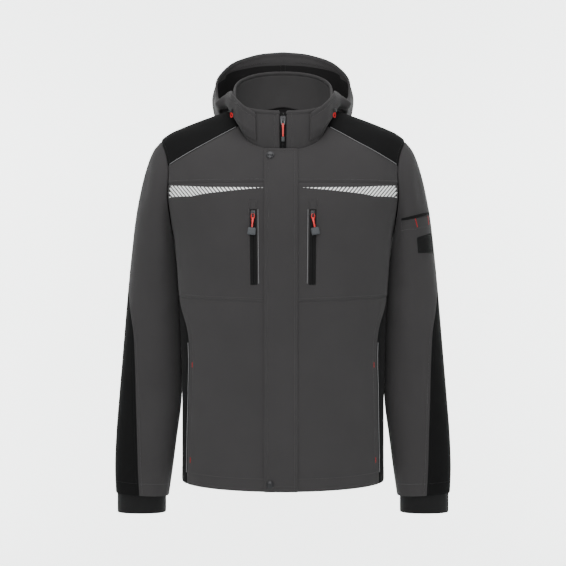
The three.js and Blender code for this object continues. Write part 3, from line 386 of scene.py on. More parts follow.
hem_front, hem_back = seam_angle(SIDE_SEAM_FRONT), seam_angle(SIDE_SEAM_BACK)
hem_zip = float(angle_of(front_point(ZIP_HALF_GAP, HEM_Z)))
belly_side = side_seam(SIDE_SEAM_FRONT, BELLY_SIDE_Z, BELLY_SIDE_Z)(0.0)
belly_seam = around(front_point(ZIP_HALF_GAP, BELLY_CENTRE_Z), belly_side)
chest_seam = around(front_point(ZIP_HALF_GAP, CHEST_SEAM_Z), arm_point(CHEST_END))


def yoke_seam(s):
    a, b = neck_point(neck_yoke), arm_point(YOKE_FRONT)
    return front_point(mix(a[0], b[0], s), mix(a[2], b[2], s))


def ridge(s):
    a, b = neck_point(math.pi / 2), arm_point(RIDGE)
    return top_point(mix(a[0], b[0], s), mix(a[1], b[1], s))


def zip_line(z0, z1):
    return lambda s: front_point(ZIP_HALF_GAP, mix(z0, z1, s))


def hem_line(a, b):
    return lambda s: wrap(mix(a, b, s), hem_z(mix(a, b, s)))


arm_front_z = float(arm_point(SIDE_FRONT)[2])
arm_back_z = float(arm_point(SIDE_BACK)[2])
back_seam_end = arm_point(YOKE_BACK)
back_seam = across(lambda s: wrap(mix(math.pi, angle_of(back_seam_end), s), back_seam_end[2]))
arm_back_yoke = along(arm_point, YOKE_BACK - 2 * math.pi, RIDGE)
back_side = join(
    side_seam(SIDE_SEAM_BACK, hem_z(hem_back), arm_back_z),
    SIDE_ROWS / (SIDE_ROWS + STEPS["backArm"]),
    along(arm_point, SIDE_BACK, YOKE_BACK),
)

# Body panels: four edges, steps across and up, whether both sides have one, the cloth,
# and how far in from each edge it is top-stitched (left, right, bottom, top).
PANELS = {
    "front_low": (
        hem_line(hem_zip, hem_front), belly_seam,
        zip_line(hem_z(hem_zip), BELLY_CENTRE_Z),
        side_seam(SIDE_SEAM_FRONT, hem_z(hem_front), BELLY_SIDE_Z),
        HALF, STEPS["low"], True, "grey", (0, 0, HEM_STITCH, 0),
    ),
    "front_mid": (
        belly_seam, chest_seam, zip_line(BELLY_CENTRE_Z, CHEST_SEAM_Z),
        join(
            side_seam(SIDE_SEAM_FRONT, BELLY_SIDE_Z, arm_front_z), 0.5,
            along(arm_point, SIDE_FRONT, CHEST_END),
        ),
        HALF, STEPS["mid"] + STEPS["midArm"], True, "grey", (0, SEAM_STITCH, SEAM_STITCH, 0),
    ),
    "front_top": (
        chest_seam, join(along(neck_point, neck_zip, neck_yoke), STEPS["neck"] / HALF, yoke_seam),
        zip_line(CHEST_SEAM_Z, neck_zip_z), along(arm_point, CHEST_END, YOKE_FRONT),
        HALF, STEPS["top"], True, "grey", (0, SEAM_STITCH, SEAM_STITCH, 0),
    ),
    "yoke": (
        yoke_seam, ridge, along(neck_point, neck_yoke, math.pi / 2),
        along(arm_point, YOKE_FRONT, RIDGE),
        STEPS["ridge"], STEPS["yoke"], True, "black", (0, SEAM_STITCH, 0, 0),
    ),
    "side": (
        hem_line(hem_front, hem_back), along(arm_point, SIDE_FRONT, SIDE_BACK),
        join(
            side_seam(SIDE_SEAM_FRONT, hem_z(hem_front), BELLY_SIDE_Z),
            STEPS["low"] / SIDE_ROWS,
            side_seam(SIDE_SEAM_FRONT, BELLY_SIDE_Z, arm_front_z),
        ),
        side_seam(SIDE_SEAM_BACK, hem_z(hem_back), arm_back_z),
        STEPS["side"], SIDE_ROWS, True, "black", (0, 0, HEM_STITCH, 0),
    ),
    "back_yoke": (
        back_seam, across(join(along(neck_point, math.pi, math.pi / 2), STEPS["neck"] / HALF, ridge)),
        on_right(arm_back_yoke), arm_back_yoke,
        2 * HALF, STEPS["yoke"], False, "black", (SEAM_STITCH, SEAM_STITCH, SEAM_STITCH, 0),
    ),
    "back_main": (
        across(hem_line(math.pi, hem_back)), back_seam, on_right(back_side), back_side,
        2 * HALF, SIDE_ROWS + STEPS["backArm"], False, "grey", (SEAM_STITCH, SEAM_STITCH, HEM_STITCH, 0),
    ),
}

# Soft troughs and ridges of the worn cloth: side of the body (-1 front, 1 back), the ends
# of each in x and z, its half width and its height (below 0 for a trough).
BODY_FOLDS = [
    (-1, 205, -175, 120, -240, 22, -1.6),
    (-1, -205, -180, -128, -250, 24, -1.5),
    (-1, 196, -250, 110, -330, 26, 1.2),
    (-1, -198, -262, -120, -345, 24, 1.1),
    (-1, 120, -400, 70, -560, 34, -1.4),
    (-1, -110, -420, -80, -600, 36, -1.5),
    (-1, 165, -430, 140, -640, 30, 1.3),
    (-1, -160, -450, -150, -660, 30, 1.2),
    (-1, 60, -600, 130, -690, 26, 0.9),
    (-1, -150, -95, -100, -120, 16, -0.8),
    (-1, 150, -92, 96, -122, 16, -0.9),
    (-1, 178, -60, 120, -40, 9, -0.9),
    (-1, -176, -62, -130, -42, 9, -0.7),
    (1, 190, -170, 90, -250, 26, -2.6),
    (1, -185, -180, -80, -245, 26, -2.4),
    (1, 180, -260, 60, -360, 30, 1.4),
    (1, -178, -250, -70, -350, 28, 1.3),
    (1, 100, -380, 60, -620, 38, -3.2),
    (1, -90, -400, -70, -600, 36, -2.9),
    (1, 10, -300, -20, -520, 36, 2.4),
    (1, 150, -460, 120, -690, 30, 2.2),
    (1, -150, -480, -130, -700, 30, 1.9),
    (1, 60, -120, -70, -128, 20, -0.8),
    (1, -20, -560, 30, -700, 34, -1.8),
    (1, 130, -360, 20, -410, 24, -1.3),
    (1, -140, -370, -40, -420, 24, -1.2),
]


def ridge_height(u, v, u0, v0, u1, v1, width, height):
    """A soft fold between two places on a flat chart, fading to nothing at its ends."""
    du, dv = u1 - u0, v1 - v0
    length = math.hypot(du, dv)
    t = ((u - u0) * du + (v - v0) * dv) / length**2
    side = ((u - u0) * dv - (v - v0) * du) / length
    bend = side + 0.08 * length * np.sin(clamp(t) * math.pi)
    fade = clamp(1 - (2 * t - 1) ** 2) ** 1.5
    return height * fade * bell(bend, width)


# Half width of the front's middle, where the zips and the flap lie flat, and the fade beside it.
CALM_HALF, CALM_FADE = 66, 40


def calm(p):
    """0 on the middle of the front, 1 away from it."""
    return np.where(p[..., 1] < 0, clamp((np.abs(p[..., 0]) - CALM_HALF) / CALM_FADE), 1.0)


def body_relief(p):
    """Height of the body's folds."""
    x, y, z = p[..., 0], p[..., 1], p[..., 2]
    total = np.zeros(x.shape)
    for side, *fold in BODY_FOLDS:
        total += np.where(y * side > 0, ridge_height(x, z, *fold), 0)
    return total * calm(p) * clamp(np.abs(y) / 30)


# Sleeve folds: row and angle at each end, half width in mm, height.
SLEEVE_FOLDS = [
    (1.2, 30, 3.6, 48, 13, -1.6),
    (1.0, 62, 3.0, 66, 14, 1.2),
    (2.6, 110, 3.8, 70, 15, -1.3),
    (4.8, 150, 5.9, 85, 13, -1.8),
    (5.3, 165, 6.5, 100, 12, 1.3),
    (5.9, 175, 6.9, 105, 12, -1.6),
    (5.0, -150, 6.0, -85, 15, -1.8),
    (6.2, -155, 7.0, -90, 14, -1.6),
    (7.6, 120, 9.6, 95, 16, -1.1),
    (8.4, -60, 10.4, -85, 18, -1.2),
    (10.6, 30, 11.3, 100, 10, 0.8),
    (1.6, -100, 3.4, -85, 18, -1.6),
    (2.8, -20, 4.4, -40, 16, 1.0),
]


# Lengths in mm of a row and of a degree on a flat chart of the sleeve.
ROW, DEGREE = 60.0, 1.1
# The side of the sleeve that faces the body has no folds: its angle, how far the flat part
# reaches, and over how much more the folds come back.
BODY_SIDE, FLAT_REACH, FLAT_FADE = 195, 34, 26


def sleeve_relief(k, angle):
    """Height of the sleeve's folds, none at its two ends."""
    u, v = k * ROW, ((angle + 180) % 360 - 180) * DEGREE
    total = np.zeros(np.broadcast(k, angle).shape)
    for k0, a0, k1, a1, width, height in SLEEVE_FOLDS:
        total += ridge_height(u, v, k0 * ROW, a0 * DEGREE, k1 * ROW, a1 * DEGREE, width, height)
    beside = clamp((np.abs((angle + 360) % 360 - BODY_SIDE) - FLAT_REACH) / FLAT_FADE)
    return total * clamp(k / 0.8) * clamp((12 - k) / 0.8) * beside


sleeve_rows = np.column_stack([np.arange(len(SLEEVE)), SLEEVE])
out_x, out_z, in_x, in_z, sl_front, sl_back, sl_seam = (through(sleeve_rows, i) for i in range(1, 8))


def sleeve_oval(k, angle):
    v, u = rounded(angle, SLEEVE_SQUARE)
    return point(
        (out_x(k) + in_x(k)) / 2 + (out_x(k) - in_x(k)) / 2 * u,
        (sl_front(k) + sl_back(k)) / 2 - (sl_back(k) - sl_front(k)) / 2 * v,
        (out_z(k) + in_z(k)) / 2 + (out_z(k) - in_z(k)) / 2 * u,
    )


def sleeve_point(k, angle):
    """A point of the sleeve: rows from the armhole down, and degrees round the arm."""
    k, angle = np.broadcast_arrays(np.asarray(k, float), np.radians(angle))
    p = sleeve_oval(k, angle)
    fade = np.maximum(0, 1 - k / HEAD_ROWS) ** 2
    p = p + (arm_point(angle) - sleeve_oval(np.zeros_like(k), angle)) * fade[..., None]
    return p + point(SLEEVE_LIFT * np.maximum(0, 1 - k), 0, 0)


def sleeve_axis(k):
    return point((out_x(k) + in_x(k)) / 2, (sl_front(k) + sl_back(k)) / 2, (out_z(k) + in_z(k)) / 2)


def sleeve_normal(k, angle):
    h = 0.04
    above = np.maximum(k - h, 0)
    down = sleeve_point(above + 2 * h, angle) - sleeve_point(above, angle)
    turn = sleeve_point(k, angle + 2.3) - sleeve_point(k, angle - 2.3)
    return turned_to(unit(np.cross(down, turn)), sleeve_point(k, angle) - sleeve_axis(k))


def collar_top(angle):
    x, y = oval(COLLAR_TOP, angle)
    share = (y + COLLAR_TOP[1]) / (COLLAR_TOP[1] + COLLAR_TOP[2])
    return point(x, y, mix(COLLAR_TOP_FRONT_Z, COLLAR_TOP_BACK_Z, share))


def collar_point(angle, rise):
    angle, rise = np.broadcast_arrays(np.asarray(angle, float), np.asarray(rise, float))
    flat = np.unique(angle)
    feet = {a: f for a, f in zip(flat, neck_point(flat))}
    foot = np.array([feet[a] for a in angle.ravel()]).reshape(angle.shape + (3,))
    foot = foot - outward(foot) * COLLAR_TUCK
    p = foot + (collar_top(angle) - foot) * rise[..., None]
    return p + outward(p) * (COLLAR_BULGE * np.sin(math.pi * rise))[..., None]


def hood_curves():
    rows = []
    for k, (angle, out, *points) in enumerate(HOOD):
        p = collar_point(math.radians(angle), HOOD_SEAM_RISE)
        seam = p + outward(p) * out
        rows.append(np.concatenate([[k], seam, np.ravel(points)]))
    rows = np.array(rows)
    return [[through(rows, 1 + 3 * i + c) for c in range(3)] for i in range(5)]


HOOD_CURVES = hood_curves()


def hood_point(k, share):
    """Centripetal spline from the seam to the rim at a station."""
    k, share = np.broadcast_arrays(np.asarray(k, float), np.asarray(share, float))
    pts = [point(*(c(k) for c in curves)) for curves in HOOD_CURVES]
    pts = [2 * pts[0] - pts[1], *pts, 2 * pts[4] - pts[3]]
    place = share * 4
    i = np.clip(np.floor(place).astype(int), 0, 3)
    w = (place - i)[..., None]
    stack = np.stack(pts)
    pick = lambda j: np.take_along_axis(stack, (i + j)[None, ..., None], 0)[0]
    p0, p1, p2, p3 = (pick(j) for j in range(4))
    gap = lambda a, b: np.sum((a - b) ** 2, -1, keepdims=True) ** 0.25
    d0, d1, d2 = gap(p0, p1), gap(p1, p2), gap(p2, p3)
    m1 = ((p1 - p0) / d0 - (p2 - p0) / (d0 + d1) + (p2 - p1) / d1) * d1
    m2 = ((p2 - p1) / d1 - (p3 - p1) / (d1 + d2) + (p3 - p2) / d2) * d1
    return p1 + m1 * w + (-3 * p1 + 3 * p2 - 2 * m1 - m2) * w**2 + (2 * p1 - 2 * p2 + m1 + m2) * w**3


# Materials.


class Graph:
    """A new material, with short ways to add and link its nodes."""

    def __init__(self, name):
        self.material = bpy.data.materials.new(name)
        self.material.use_nodes = True
        self.tree = self.material.node_tree
        self.bsdf = self.tree.nodes["Principled BSDF"]
        self.place = self.node("TexCoord").outputs["Object"]

    def node(self, kind, **values):
        made = self.tree.nodes.new("ShaderNode" + kind)
        for key, value in values.items():
            if key in made.inputs:
                made.inputs[key].default_value = value
            else:
                setattr(made, key, value)
        return made

    def link(self, a, b):
        self.tree.links.new(a, b)

    def math(self, operation, a, b):
        made = self.node("Math", operation=operation)
        for socket, value in zip(made.inputs, (a, b)):
            if hasattr(value, "is_output"):
                self.link(value, socket)
            else:
                socket.default_value = value
        return made.outputs[0]

    def blend(self, a, b, share):
        return self.math("ADD", self.math("MULTIPLY", a, share), self.math("MULTIPLY", b, 1 - share))

    def noise(self, scale, detail, **values):
        made = self.node("TexNoise", Scale=scale, Detail=detail, **values)
        self.link(self.place, made.inputs["Vector"])
        return made.outputs["Fac"]

    def shade(self, factor, colour, spread, places=(0, 1)):
        """The base colour, from darker to lighter than a colour by a spread."""
        ramp = self.node("ValToRGB")
        for element, place, k in zip(ramp.color_ramp.elements, places, (1 - spread, 1 + spread)):
            element.position, element.color = place, (*[min(1, c * k) for c in colour], 1)
        self.link(factor, ramp.inputs[0])
        self.link(ramp.outputs[0], self.bsdf.inputs["Base Color"])

    def bump(self, height, strength, distance, normal=None):
        """A relief of a distance in mm, over another relief's normal."""
        made = self.node("Bump", Strength=strength, Distance=distance * MM)
        self.link(height, made.inputs["Height"])
        if normal is not None:
            self.link(normal, made.inputs["Normal"])
        return made.outputs[0]

    def finish(self, normal, noise, spread, roughness, values):
        rough = self.math("ADD", self.math("MULTIPLY", noise, spread), roughness)
        self.link(normal, self.bsdf.inputs["Normal"])
        self.link(rough, self.bsdf.inputs["Roughness"])
        for name, value in values.items():
            self.bsdf.inputs[name].default_value = value
        return self.material


def weave_height(g, kind, pitch):
    """A height of 0 to 1 for a cloth's surface. pitch is its repeat in mm."""
    uv = g.node("UVMap").outputs[0]

    def wave(turn, squeeze=1.0):
        mapping = g.node("Mapping", Rotation=(0, 0, math.radians(turn)))
        g.link(uv, mapping.inputs["Vector"])
        made = g.node("TexWave", Scale=WAVE_UNIT / (pitch * MM) * squeeze, Distortion=0.0)
        g.link(mapping.outputs[0], made.inputs["Vector"])
        return made.outputs["Fac"]

    if kind == "rib":
        return g.blend(wave(0), wave(90, 1.4), 0.8)
    if kind == "tape":
        return g.math("MULTIPLY", wave(45), wave(-45))
    return g.blend(wave(58), wave(0, 1.7), 0.65)


def cloth(
    name, colour, kind="twill", pitch=0.9, depth=0.10, roughness=0.88, sheen=0.08, drift=0.08, specular=0.14
):
    """A woven or knitted cloth with slow drift in shade and fine relief."""
    g = Graph(name)
    slow, fine = g.noise(9, 3, Roughness=0.55), g.noise(900, 2)
    g.shade(g.blend(slow, fine, 0.6), colour, drift, (0.3, 0.7))
    weave = g.bump(weave_height(g, kind, pitch), 0.6, depth)
    swell = g.bump(g.noise(38, 2), 0.5, 0.5, weave)
    values = {"Sheen Weight": sheen, "Sheen Roughness": 0.5, "Specular IOR Level": specular}
    return g.finish(swell, fine, 0.12, roughness - 0.06, values)


def solid(name, colour, roughness, metallic=0.0, coat=0.0, grain=0.25, grain_scale=600.0):
    """Moulded plastic, rubber or metal with a fine grain."""
    g = Graph(name)
    noise = g.noise(grain_scale, 3)
    g.shade(noise, colour, 0.12)
    values = {"Metallic": metallic, "Coat Weight": coat}
    return g.finish(g.bump(noise, grain, 0.08), noise, 0.15, roughness - 0.07, values)


GREY = (0.0368, 0.0348, 0.0357)
BLACK = (0.0042, 0.0042, 0.0044)
LOOKS = {
    "grey": cloth("grey_softshell", GREY),
    "black": cloth("black_softshell", BLACK, roughness=0.9, sheen=0.02, drift=0.14, specular=0.13),
    "fleece": cloth("fleece_inside", (0.022, 0.021, 0.022), "twill", 1.6, 0.25, 0.95, 0.2),
    "collar_inside": cloth("collar_inside", (0.0355, 0.0341, 0.0346), "twill", 1.2, 0.12, 0.9, 0.08),
    # The hood's facing is the shell cloth painted about twice as light: painted light for the lit band
    # inside the rim.
    "hood_facing_painted_light": cloth("hood_facing_painted_light", (0.070, 0.0665, 0.068)),
    # The hood's lining is darker than the shell: partly a dark lining of its own, partly painted shade for
    # the hood's shadowed inside.
    "hood_lining_painted_shade": cloth("hood_lining_painted_shade", (0.022, 0.021, 0.0215), "twill", 1.2, 0.14, 0.93, 0.05),
    "knit": cloth("cuff_knit", (0.0092, 0.0092, 0.0095), "rib", 1.5, 0.35, 0.92, 0.1),
    "tape": cloth("zip_tape", (0.0040, 0.0040, 0.0042), "tape", 1.1, 0.12, 0.7, 0.02),
    "patch": cloth("patch_weave", (0.0050, 0.0050, 0.0052), "tape", 0.7, 0.08, 0.65, 0.02),
    "grey_thread": cloth("grey_thread", (0.046, 0.0437, 0.0447), "tape", 0.5, 0.05, 0.6, 0.2),
    "black_thread": cloth("black_thread", (0.010, 0.010, 0.0105), "tape", 0.5, 0.05, 0.6, 0.05),
    "light_thread": cloth("light_thread", (0.24, 0.24, 0.245), "tape", 0.5, 0.05, 0.5, 0.1),
    "red_thread": cloth("red_thread", (0.42, 0.008, 0.010), "tape", 0.5, 0.05, 0.6, 0.1),
    "cord": cloth("red_cord", (0.52, 0.010, 0.012), "tape", 1.0, 0.15, 0.6, 0.1),
    "coil": solid("zip_coil", (0.006, 0.006, 0.0065), 0.4),
    "film": solid("reflective_film", (0.92, 0.925, 0.93), 0.38, 0.0, 0.2, 0.2, 1500.0),
    "piping": cloth("reflective_piping", (0.13, 0.13, 0.134), "tape", 0.6, 0.06, 0.5, 0.05),
    "nickel": solid("satin_nickel", (0.22, 0.22, 0.225), 0.34, 1.0),
    "gunmetal": solid("gunmetal", (0.020, 0.020, 0.022), 0.34, 0.6, 0.15, 0.1),
    "red": solid("red_plastic", (0.62, 0.012, 0.010), 0.38, 0.0, 0.1),
    "rubber": solid("grey_rubber", (0.039, 0.043, 0.049), 0.6, 0.0, 0.0, 0.5),
    "dark_rubber": solid("dark_rubber", (0.012, 0.014, 0.015), 0.45, 0.0, 0.0, 0.4),
}


# Slot names for the outside look of a piece, which make looks up and does not keep.
SLOTS = {
    "grey": "grey_softshell", "grey_thread": "grey_softshell",
    "black": "black_softshell", "black_thread": "black_softshell",
    "knit": "cuff_knit", "tape": "zip_tape", "coil": "zip_tape", "patch": "patch",
    "film": "reflective_piping", "piping": "reflective_piping", "light_thread": "reflective_piping",
    "nickel": "zip_metal", "gunmetal": "zip_metal", "red": "red_grip",
    "cord": "red_cord", "red_thread": "red_cord", "rubber": "grey_tip", "dark_rubber": "grey_tip",
}


# Meshes.


def add(name, data):
    obj = bpy.data.objects.new(name, data)
    bpy.context.collection.objects.link(obj)
    return obj


def make(
    name, points, faces, look, uvs=None, marks=None, node=None, mirror=False, body="jacket", smooth=True,
    slot=None,
):
    """An object from points in mm, in place of a node. look is one material or several, and
    marks picks each face's. uvs are in mm, and seen from the front if none are given."""
    if mirror:
        points, faces = points * FLIP, [face[::-1] for face in faces]
    uvs = points[:, [0, 2]] if uvs is None else uvs
    mesh = bpy.data.meshes.new(name)
    mesh.from_pydata((points * MM).tolist(), [], faces)
    looks = [look] if isinstance(look, str) else look
    for each in looks:
        mesh.materials.append(LOOKS[each])
    layer = mesh.uv_layers.new(name="UVMap")
    loops = np.empty(len(mesh.loops), dtype=np.int32)
    mesh.loops.foreach_get("vertex_index", loops)
    layer.data.foreach_set("uv", (uvs[loops] * MM).ravel().astype(np.float32))
    if marks is not None:
        mesh.polygons.foreach_set("material_index", np.asarray(marks, dtype=np.int32))
    mesh.polygons.foreach_set("use_smooth", np.full(len(faces), smooth))
    mesh.update()
    obj = add(name, mesh)
    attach(obj, body)
    slot or SLOTS[looks[0]]
    if node:
        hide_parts(node)
    return obj


def loft(rings, closed=False):
    """Points and faces of a skin over rings of points, with a flat end at each end ring unless
    the last ring joins the first."""
    rings = np.array(rings)
    rows, sides = rings.shape[:2]
    ids = np.arange(rows * sides).reshape(rows, sides)
    after = np.roll(ids, -1, 0) if closed else ids[1:]
    before = ids[: len(after)]
    quads = np.stack([before, np.roll(before, -1, 1), np.roll(after, -1, 1), after], -1)
    ends = [] if closed else [ids[0, ::-1].tolist(), ids[-1].tolist()]
    return rings.reshape(-1, 3), quads.reshape(-1, 4).tolist() + ends


def merged(parts):
    """One set of points and faces from several."""
    faces, base = [], 0
    for points, part_faces in parts:
        faces += [[base + v for v in face] for face in part_faces]
        base += len(points)
    return np.concatenate([points for points, _ in parts]), faces


def lathe(profile, sides):
    """A turned shape from rows of radius and height."""
    a = np.linspace(0, 2 * math.pi, sides, endpoint=False)
    return loft([point(r * np.cos(a), r * np.sin(a), h) for r, h in profile])


def placed(points, at, out):
    """Points in a frame of its own: x to the viewer's right, y up the cloth, z out."""
    right = unit(np.cross(out, [0, 0, 1.0]))
    right = -right if right[0] < 0 else right
    up = np.cross(out, right)
    return at + points @ np.array([right, up, out])


def lengths(p, axis):
    """Distances along a grid's rows or columns, from 0."""
    step = np.linalg.norm(np.diff(p, axis=axis), axis=-1)
    zero = np.zeros_like(np.take(step, [0], axis=axis))
    return np.cumsum(np.concatenate([zero, step], axis=axis), axis=axis)


def lines(steps, per, length, ends=(1, 1)):
    """Shares from 0 to 1: even ones, with closer ones by the ends for rolled edges."""
    even = np.linspace(0, 1, steps * per + 1)
    near = np.array([0.7, 1.5, 2.4, 3.4, 4.5, 5.3, 6.0, 6.7, 7.6, 9.0]) / length
    extra = []
    if ends[0]:
        extra += list(near)
    if ends[1]:
        extra += list(1 - near)
    keep = [e for e in extra if np.abs(even - e).min() > 0.3 / length]
    return np.sort(np.concatenate([even, keep]))


class Sheet:
    """A grid of cloth: points, normals, and distances to its four edges along it."""

    def __init__(self, p, n, ring=False):
        self.p, self.n, self.ring = p, n, ring
        self.u, self.v = lengths(p, 1), lengths(p, 0)
        self.lift = np.zeros(p.shape[:2])
        self.under = np.zeros(p.shape[:2])

    def edge(self, side):
        return {
            "left": self.u, "right": self.u[:, -1:] - self.u,
            "bottom": self.v, "top": self.v[-1:] - self.v,
        }[side]

    def roll(self, sides, depth=1.1, reach=2.2, under=False):
        """Rolls edges in towards a seam."""
        for side in sides:
            dip = depth * bell(self.edge(side), reach)
            self.lift -= dip
            if under:
                self.under += dip * 0.5
        return self

    def groove(self, side, distance, depth=0.35, width=0.9, pucker=0.12):
        """A stitched line's hollow, with the small swell that stitching leaves beside it."""
        d = self.edge(side) - distance
        run = self.v if side in ("left", "right") else self.u
        self.lift -= depth * bell(d, width)
        self.lift += pucker * bell(d, 5) * np.sin(run / 2.9 + 1.7 * np.sin(run / 23.0))
        return self

    def welt(self, side, width, height=0.4):
        """A strip along an edge that stands higher, over the seam allowance under it."""
        self.lift += height / 2 * (1 - np.tanh((self.edge(side) - width) / 0.7))
        return self

    def surface(self):
        return self.p + self.n * self.lift[..., None]

    def line(self, side, distance, margin=0.0):
        """Points and normals along the sheet at a distance from an edge, or at one for each row."""
        d, q = self.edge(side), self.surface()
        if side in ("bottom", "top"):
            d, q, n = d.T, q.transpose(1, 0, 2), self.n.transpose(1, 0, 2)
        else:
            n = self.n
        out_p, out_n = [], []
        for row, points, normals, at in zip(d, q, n, np.broadcast_to(distance, len(d))):
            order = np.argsort(row)
            out_p.append([np.interp(at, row[order], points[order, c]) for c in range(3)])
            out_n.append([np.interp(at, row[order], normals[order, c]) for c in range(3)])
        p, n = np.array(out_p), unit(np.array(out_n))
        if margin:
            s = lengths(p[None], 1)[0]
            keep = (s > margin) & (s < s[-1] - margin)
            p, n = p[keep], n[keep]
        return p, n

    def flat(self):
        cell = np.linalg.norm(
            np.cross(self.p[1:, 1:] - self.p[:-1, :-1], self.p[1:, :-1] - self.p[:-1, 1:]), axis=-1
        )
        return self.u[:, -1].max() * MM, self.v[-1].max() * MM, cell.sum() / 2 * MM * MM


def build(sheet, node, kind, look, inside, thick, mirror=False, round_by=0.8, hangs=(), lined_and_shaded=None):
    """A closed wall of cloth with rounded edges from a Sheet, in place of a node. If it hangs on other
    pieces, its flat width, length and area are worked out. Where lined_and_shaded is true, the inside has
    the second inside look."""
    outer, inner = sheet.surface(), sheet.p + sheet.n * (sheet.under - thick)[..., None]
    uv = np.stack([sheet.u, sheet.v], -1).reshape(-1, 2)
    index = np.arange(len(uv)).reshape(sheet.u.shape)
    points, uvs, faces, marks = [outer.reshape(-1, 3), inner.reshape(-1, 3)], [uv, uv], [], []

    def quads(ids, mark, turned):
        if sheet.ring:
            ids = np.concatenate([ids, ids[:, :1]], 1)
        a, b, c, d = ids[:-1, :-1], ids[:-1, 1:], ids[1:, 1:], ids[1:, :-1]
        made = np.stack((a, d, c, b) if turned else (a, b, c, d), -1).reshape(-1, 4)
        faces.append(made)
        marks.append(np.broadcast_to(mark, len(made)))

    def rim(edge, beside, turned):
        """Rounds an edge of the sheet from its outside to its inside."""
        middle, reach = (outer[edge] + inner[edge]) / 2, (outer[edge] - inner[edge]) / 2
        size = np.linalg.norm(reach, axis=-1, keepdims=True) * round_by
        away = unit(sheet.p[edge] - sheet.p[beside]) * size
        rows = [index[edge]]
        for turn in RIM_TURNS:
            rows.append(sum(map(len, points)) + np.arange(len(reach)))
            points.append(middle + reach * math.cos(turn) + away * math.sin(turn))
            uvs.append(uv[index[edge]])
        quads(np.array([*rows, index[edge] + len(uv)]), 0, turned)

    quads(index, 0, False)
    quads(index + len(uv), 1 if lined_and_shaded is None else np.where(lined_and_shaded[1:, 1:], 2, 1).ravel(), True)
    rim(0, 1, True)
    rim(-1, -2, False)
    if not sheet.ring:
        rim(np.s_[:, 0], np.s_[:, 1], False)
        rim(np.s_[:, -1], np.s_[:, -2], True)
    # The faces point out if the first normals agree with the grid's turn.
    faces = np.concatenate(faces)
    r, c = np.array(index.shape) // 2
    turn = np.cross(sheet.p[r, c] - sheet.p[r, c - 1], sheet.p[r, c] - sheet.p[r - 1, c])
    if np.dot(turn, sheet.n[r, c]) < 0:
        faces = faces[:, ::-1]
    looks = [look, inside] if isinstance(inside, str) else [look, *inside]
    points, uvs, marks = (np.concatenate(each) for each in (points, uvs, marks))
    obj = make(f"{node}_{kind}", points, faces.tolist(), looks, uvs, marks, node, mirror)
    if hangs:
        width, length, area = sheet.flat()
        area = round(min(area, width * length) - 5e-7, 6)


def resample(p, n, pitch):
    """Evenly spaced points along a line, with the normals and directions there."""
    s = lengths(p[None], 1)[0]
    count = max(int(s[-1] / pitch), 1)
    at = (np.arange(count) + 0.5) * (s[-1] / count)
    pick = lambda a, place: np.stack([np.interp(place, s, a[:, c]) for c in range(3)], -1)
    return pick(p, at), unit(pick(n, at)), unit(pick(p, at + 0.5) - pick(p, at - 0.5))


# Sections of one stitch: share of its length, share of its radius, height.
STITCH = np.array([(-0.5, 0.25, -0.35), (-0.34, 0.85, 0), (0, 1, 0.12), (0.34, 0.85, 0), (0.5, 0.25, -0.35)])
THREADS = {}


def stitch(p, n, colour, pitch=3.1, length=2.4, radius=0.34, lift=0.1, mirror=False):
    """Adds a row of stitches to the thread of a colour: short rods that dip at their ends."""
    p, n, run = (a[:, None, None] for a in resample(p, n, pitch))
    share, size, rise = (column[None, :, None, None] for column in STITCH.T)
    a = 2 * math.pi * np.arange(5)[:, None] / 5
    spread = unit(np.cross(n, run)) * np.cos(a) + n * np.sin(a)
    rods = p + run * length * share + n * (lift + rise) + spread * radius * size
    if mirror:
        rods = rods[:, :, ::-1] * FLIP
    THREADS.setdefault(colour, []).extend(loft(rod) for rod in rods)


def flush_threads():
    for colour, rods in THREADS.items():
        points, faces = merged(rods)
        uv = np.stack([points[:, 0] + points[:, 1], points[:, 2]], -1)
        make("stitches_" + colour, points, faces, colour, uv)


def tube(node, kind, p, radius, look, sides=12, mirror=False, body="jacket", ring=False):
    """A round cord through points, with domed ends, or closed in a ring."""
    t = unit(np.roll(p, -1, 0) - np.roll(p, 1, 0)) if ring else unit(np.gradient(p, axis=0))
    out = unit(np.cross(t[0], [0, 0, 1.0] if abs(t[0][2]) < 0.8 else [1.0, 0, 0]))
    sizes = np.ones(len(p))
    if not ring:
        first, last = p[0] - t[0] * radius * 0.6, p[-1] + t[-1] * radius * 0.6
        p = np.concatenate([[first], p, [last]])
        t = np.concatenate([t[:1], t, t[-1:]])
        sizes = np.concatenate([[0.35], sizes, [0.35]])
    a = np.linspace(0, 2 * math.pi, sides, endpoint=False)[:, None]
    rings = []
    for q, d, size in zip(p, t, sizes):
        out = unit(out - d * np.dot(out, d))
        rings.append(q + radius * size * (np.cos(a) * out + np.sin(a) * np.cross(d, out)))
    points, faces = loft(rings, ring)
    run = np.repeat(lengths(p[None], 1)[0], sides)
    turn = np.tile(a[:, 0] * radius, len(rings))
    uvs = np.stack([turn, run], -1)
    make(f"{node}_{kind}", points, faces, look, uvs, node=node, mirror=mirror, body=body)


def on_front(x, z, lift=0.0):
    """A point over the torso's front, and the normal there."""
    q = front_point(x, z)
    m = torso_normal(q)
    return q + m * lift, m


def on_body(q, mirror=False, lift=0.0):
    """A point over a panel's folds, and the normal there."""
    m = torso_normal(q)
    return q + m * (lift + body_relief(q * FLIP if mirror else q))[..., None], m


def on_sleeve(k, angle, lift=0.0):
    """A point over a sleeve's folds, and the normal there."""
    m = sleeve_normal(k, angle)
    return sleeve_point(k, angle) + m * (lift + sleeve_relief(k, angle))[..., None], m


SIDES = (("l", False), ("r", True))
EDGES = ("left", "right", "top", "bottom")
HANGS = {
    "front_low": "front_mid_{}", "front_mid": "front_top_{}", "front_top": "yoke_{}", "side": "front_mid_{}",
    "yoke": "collar", "back_yoke": "collar", "back_main": "back_yoke",
}


def mean_length(curve):
    p = curve(np.linspace(0, 1, 60))
    return float(lengths(p[None], 1)[0][-1])


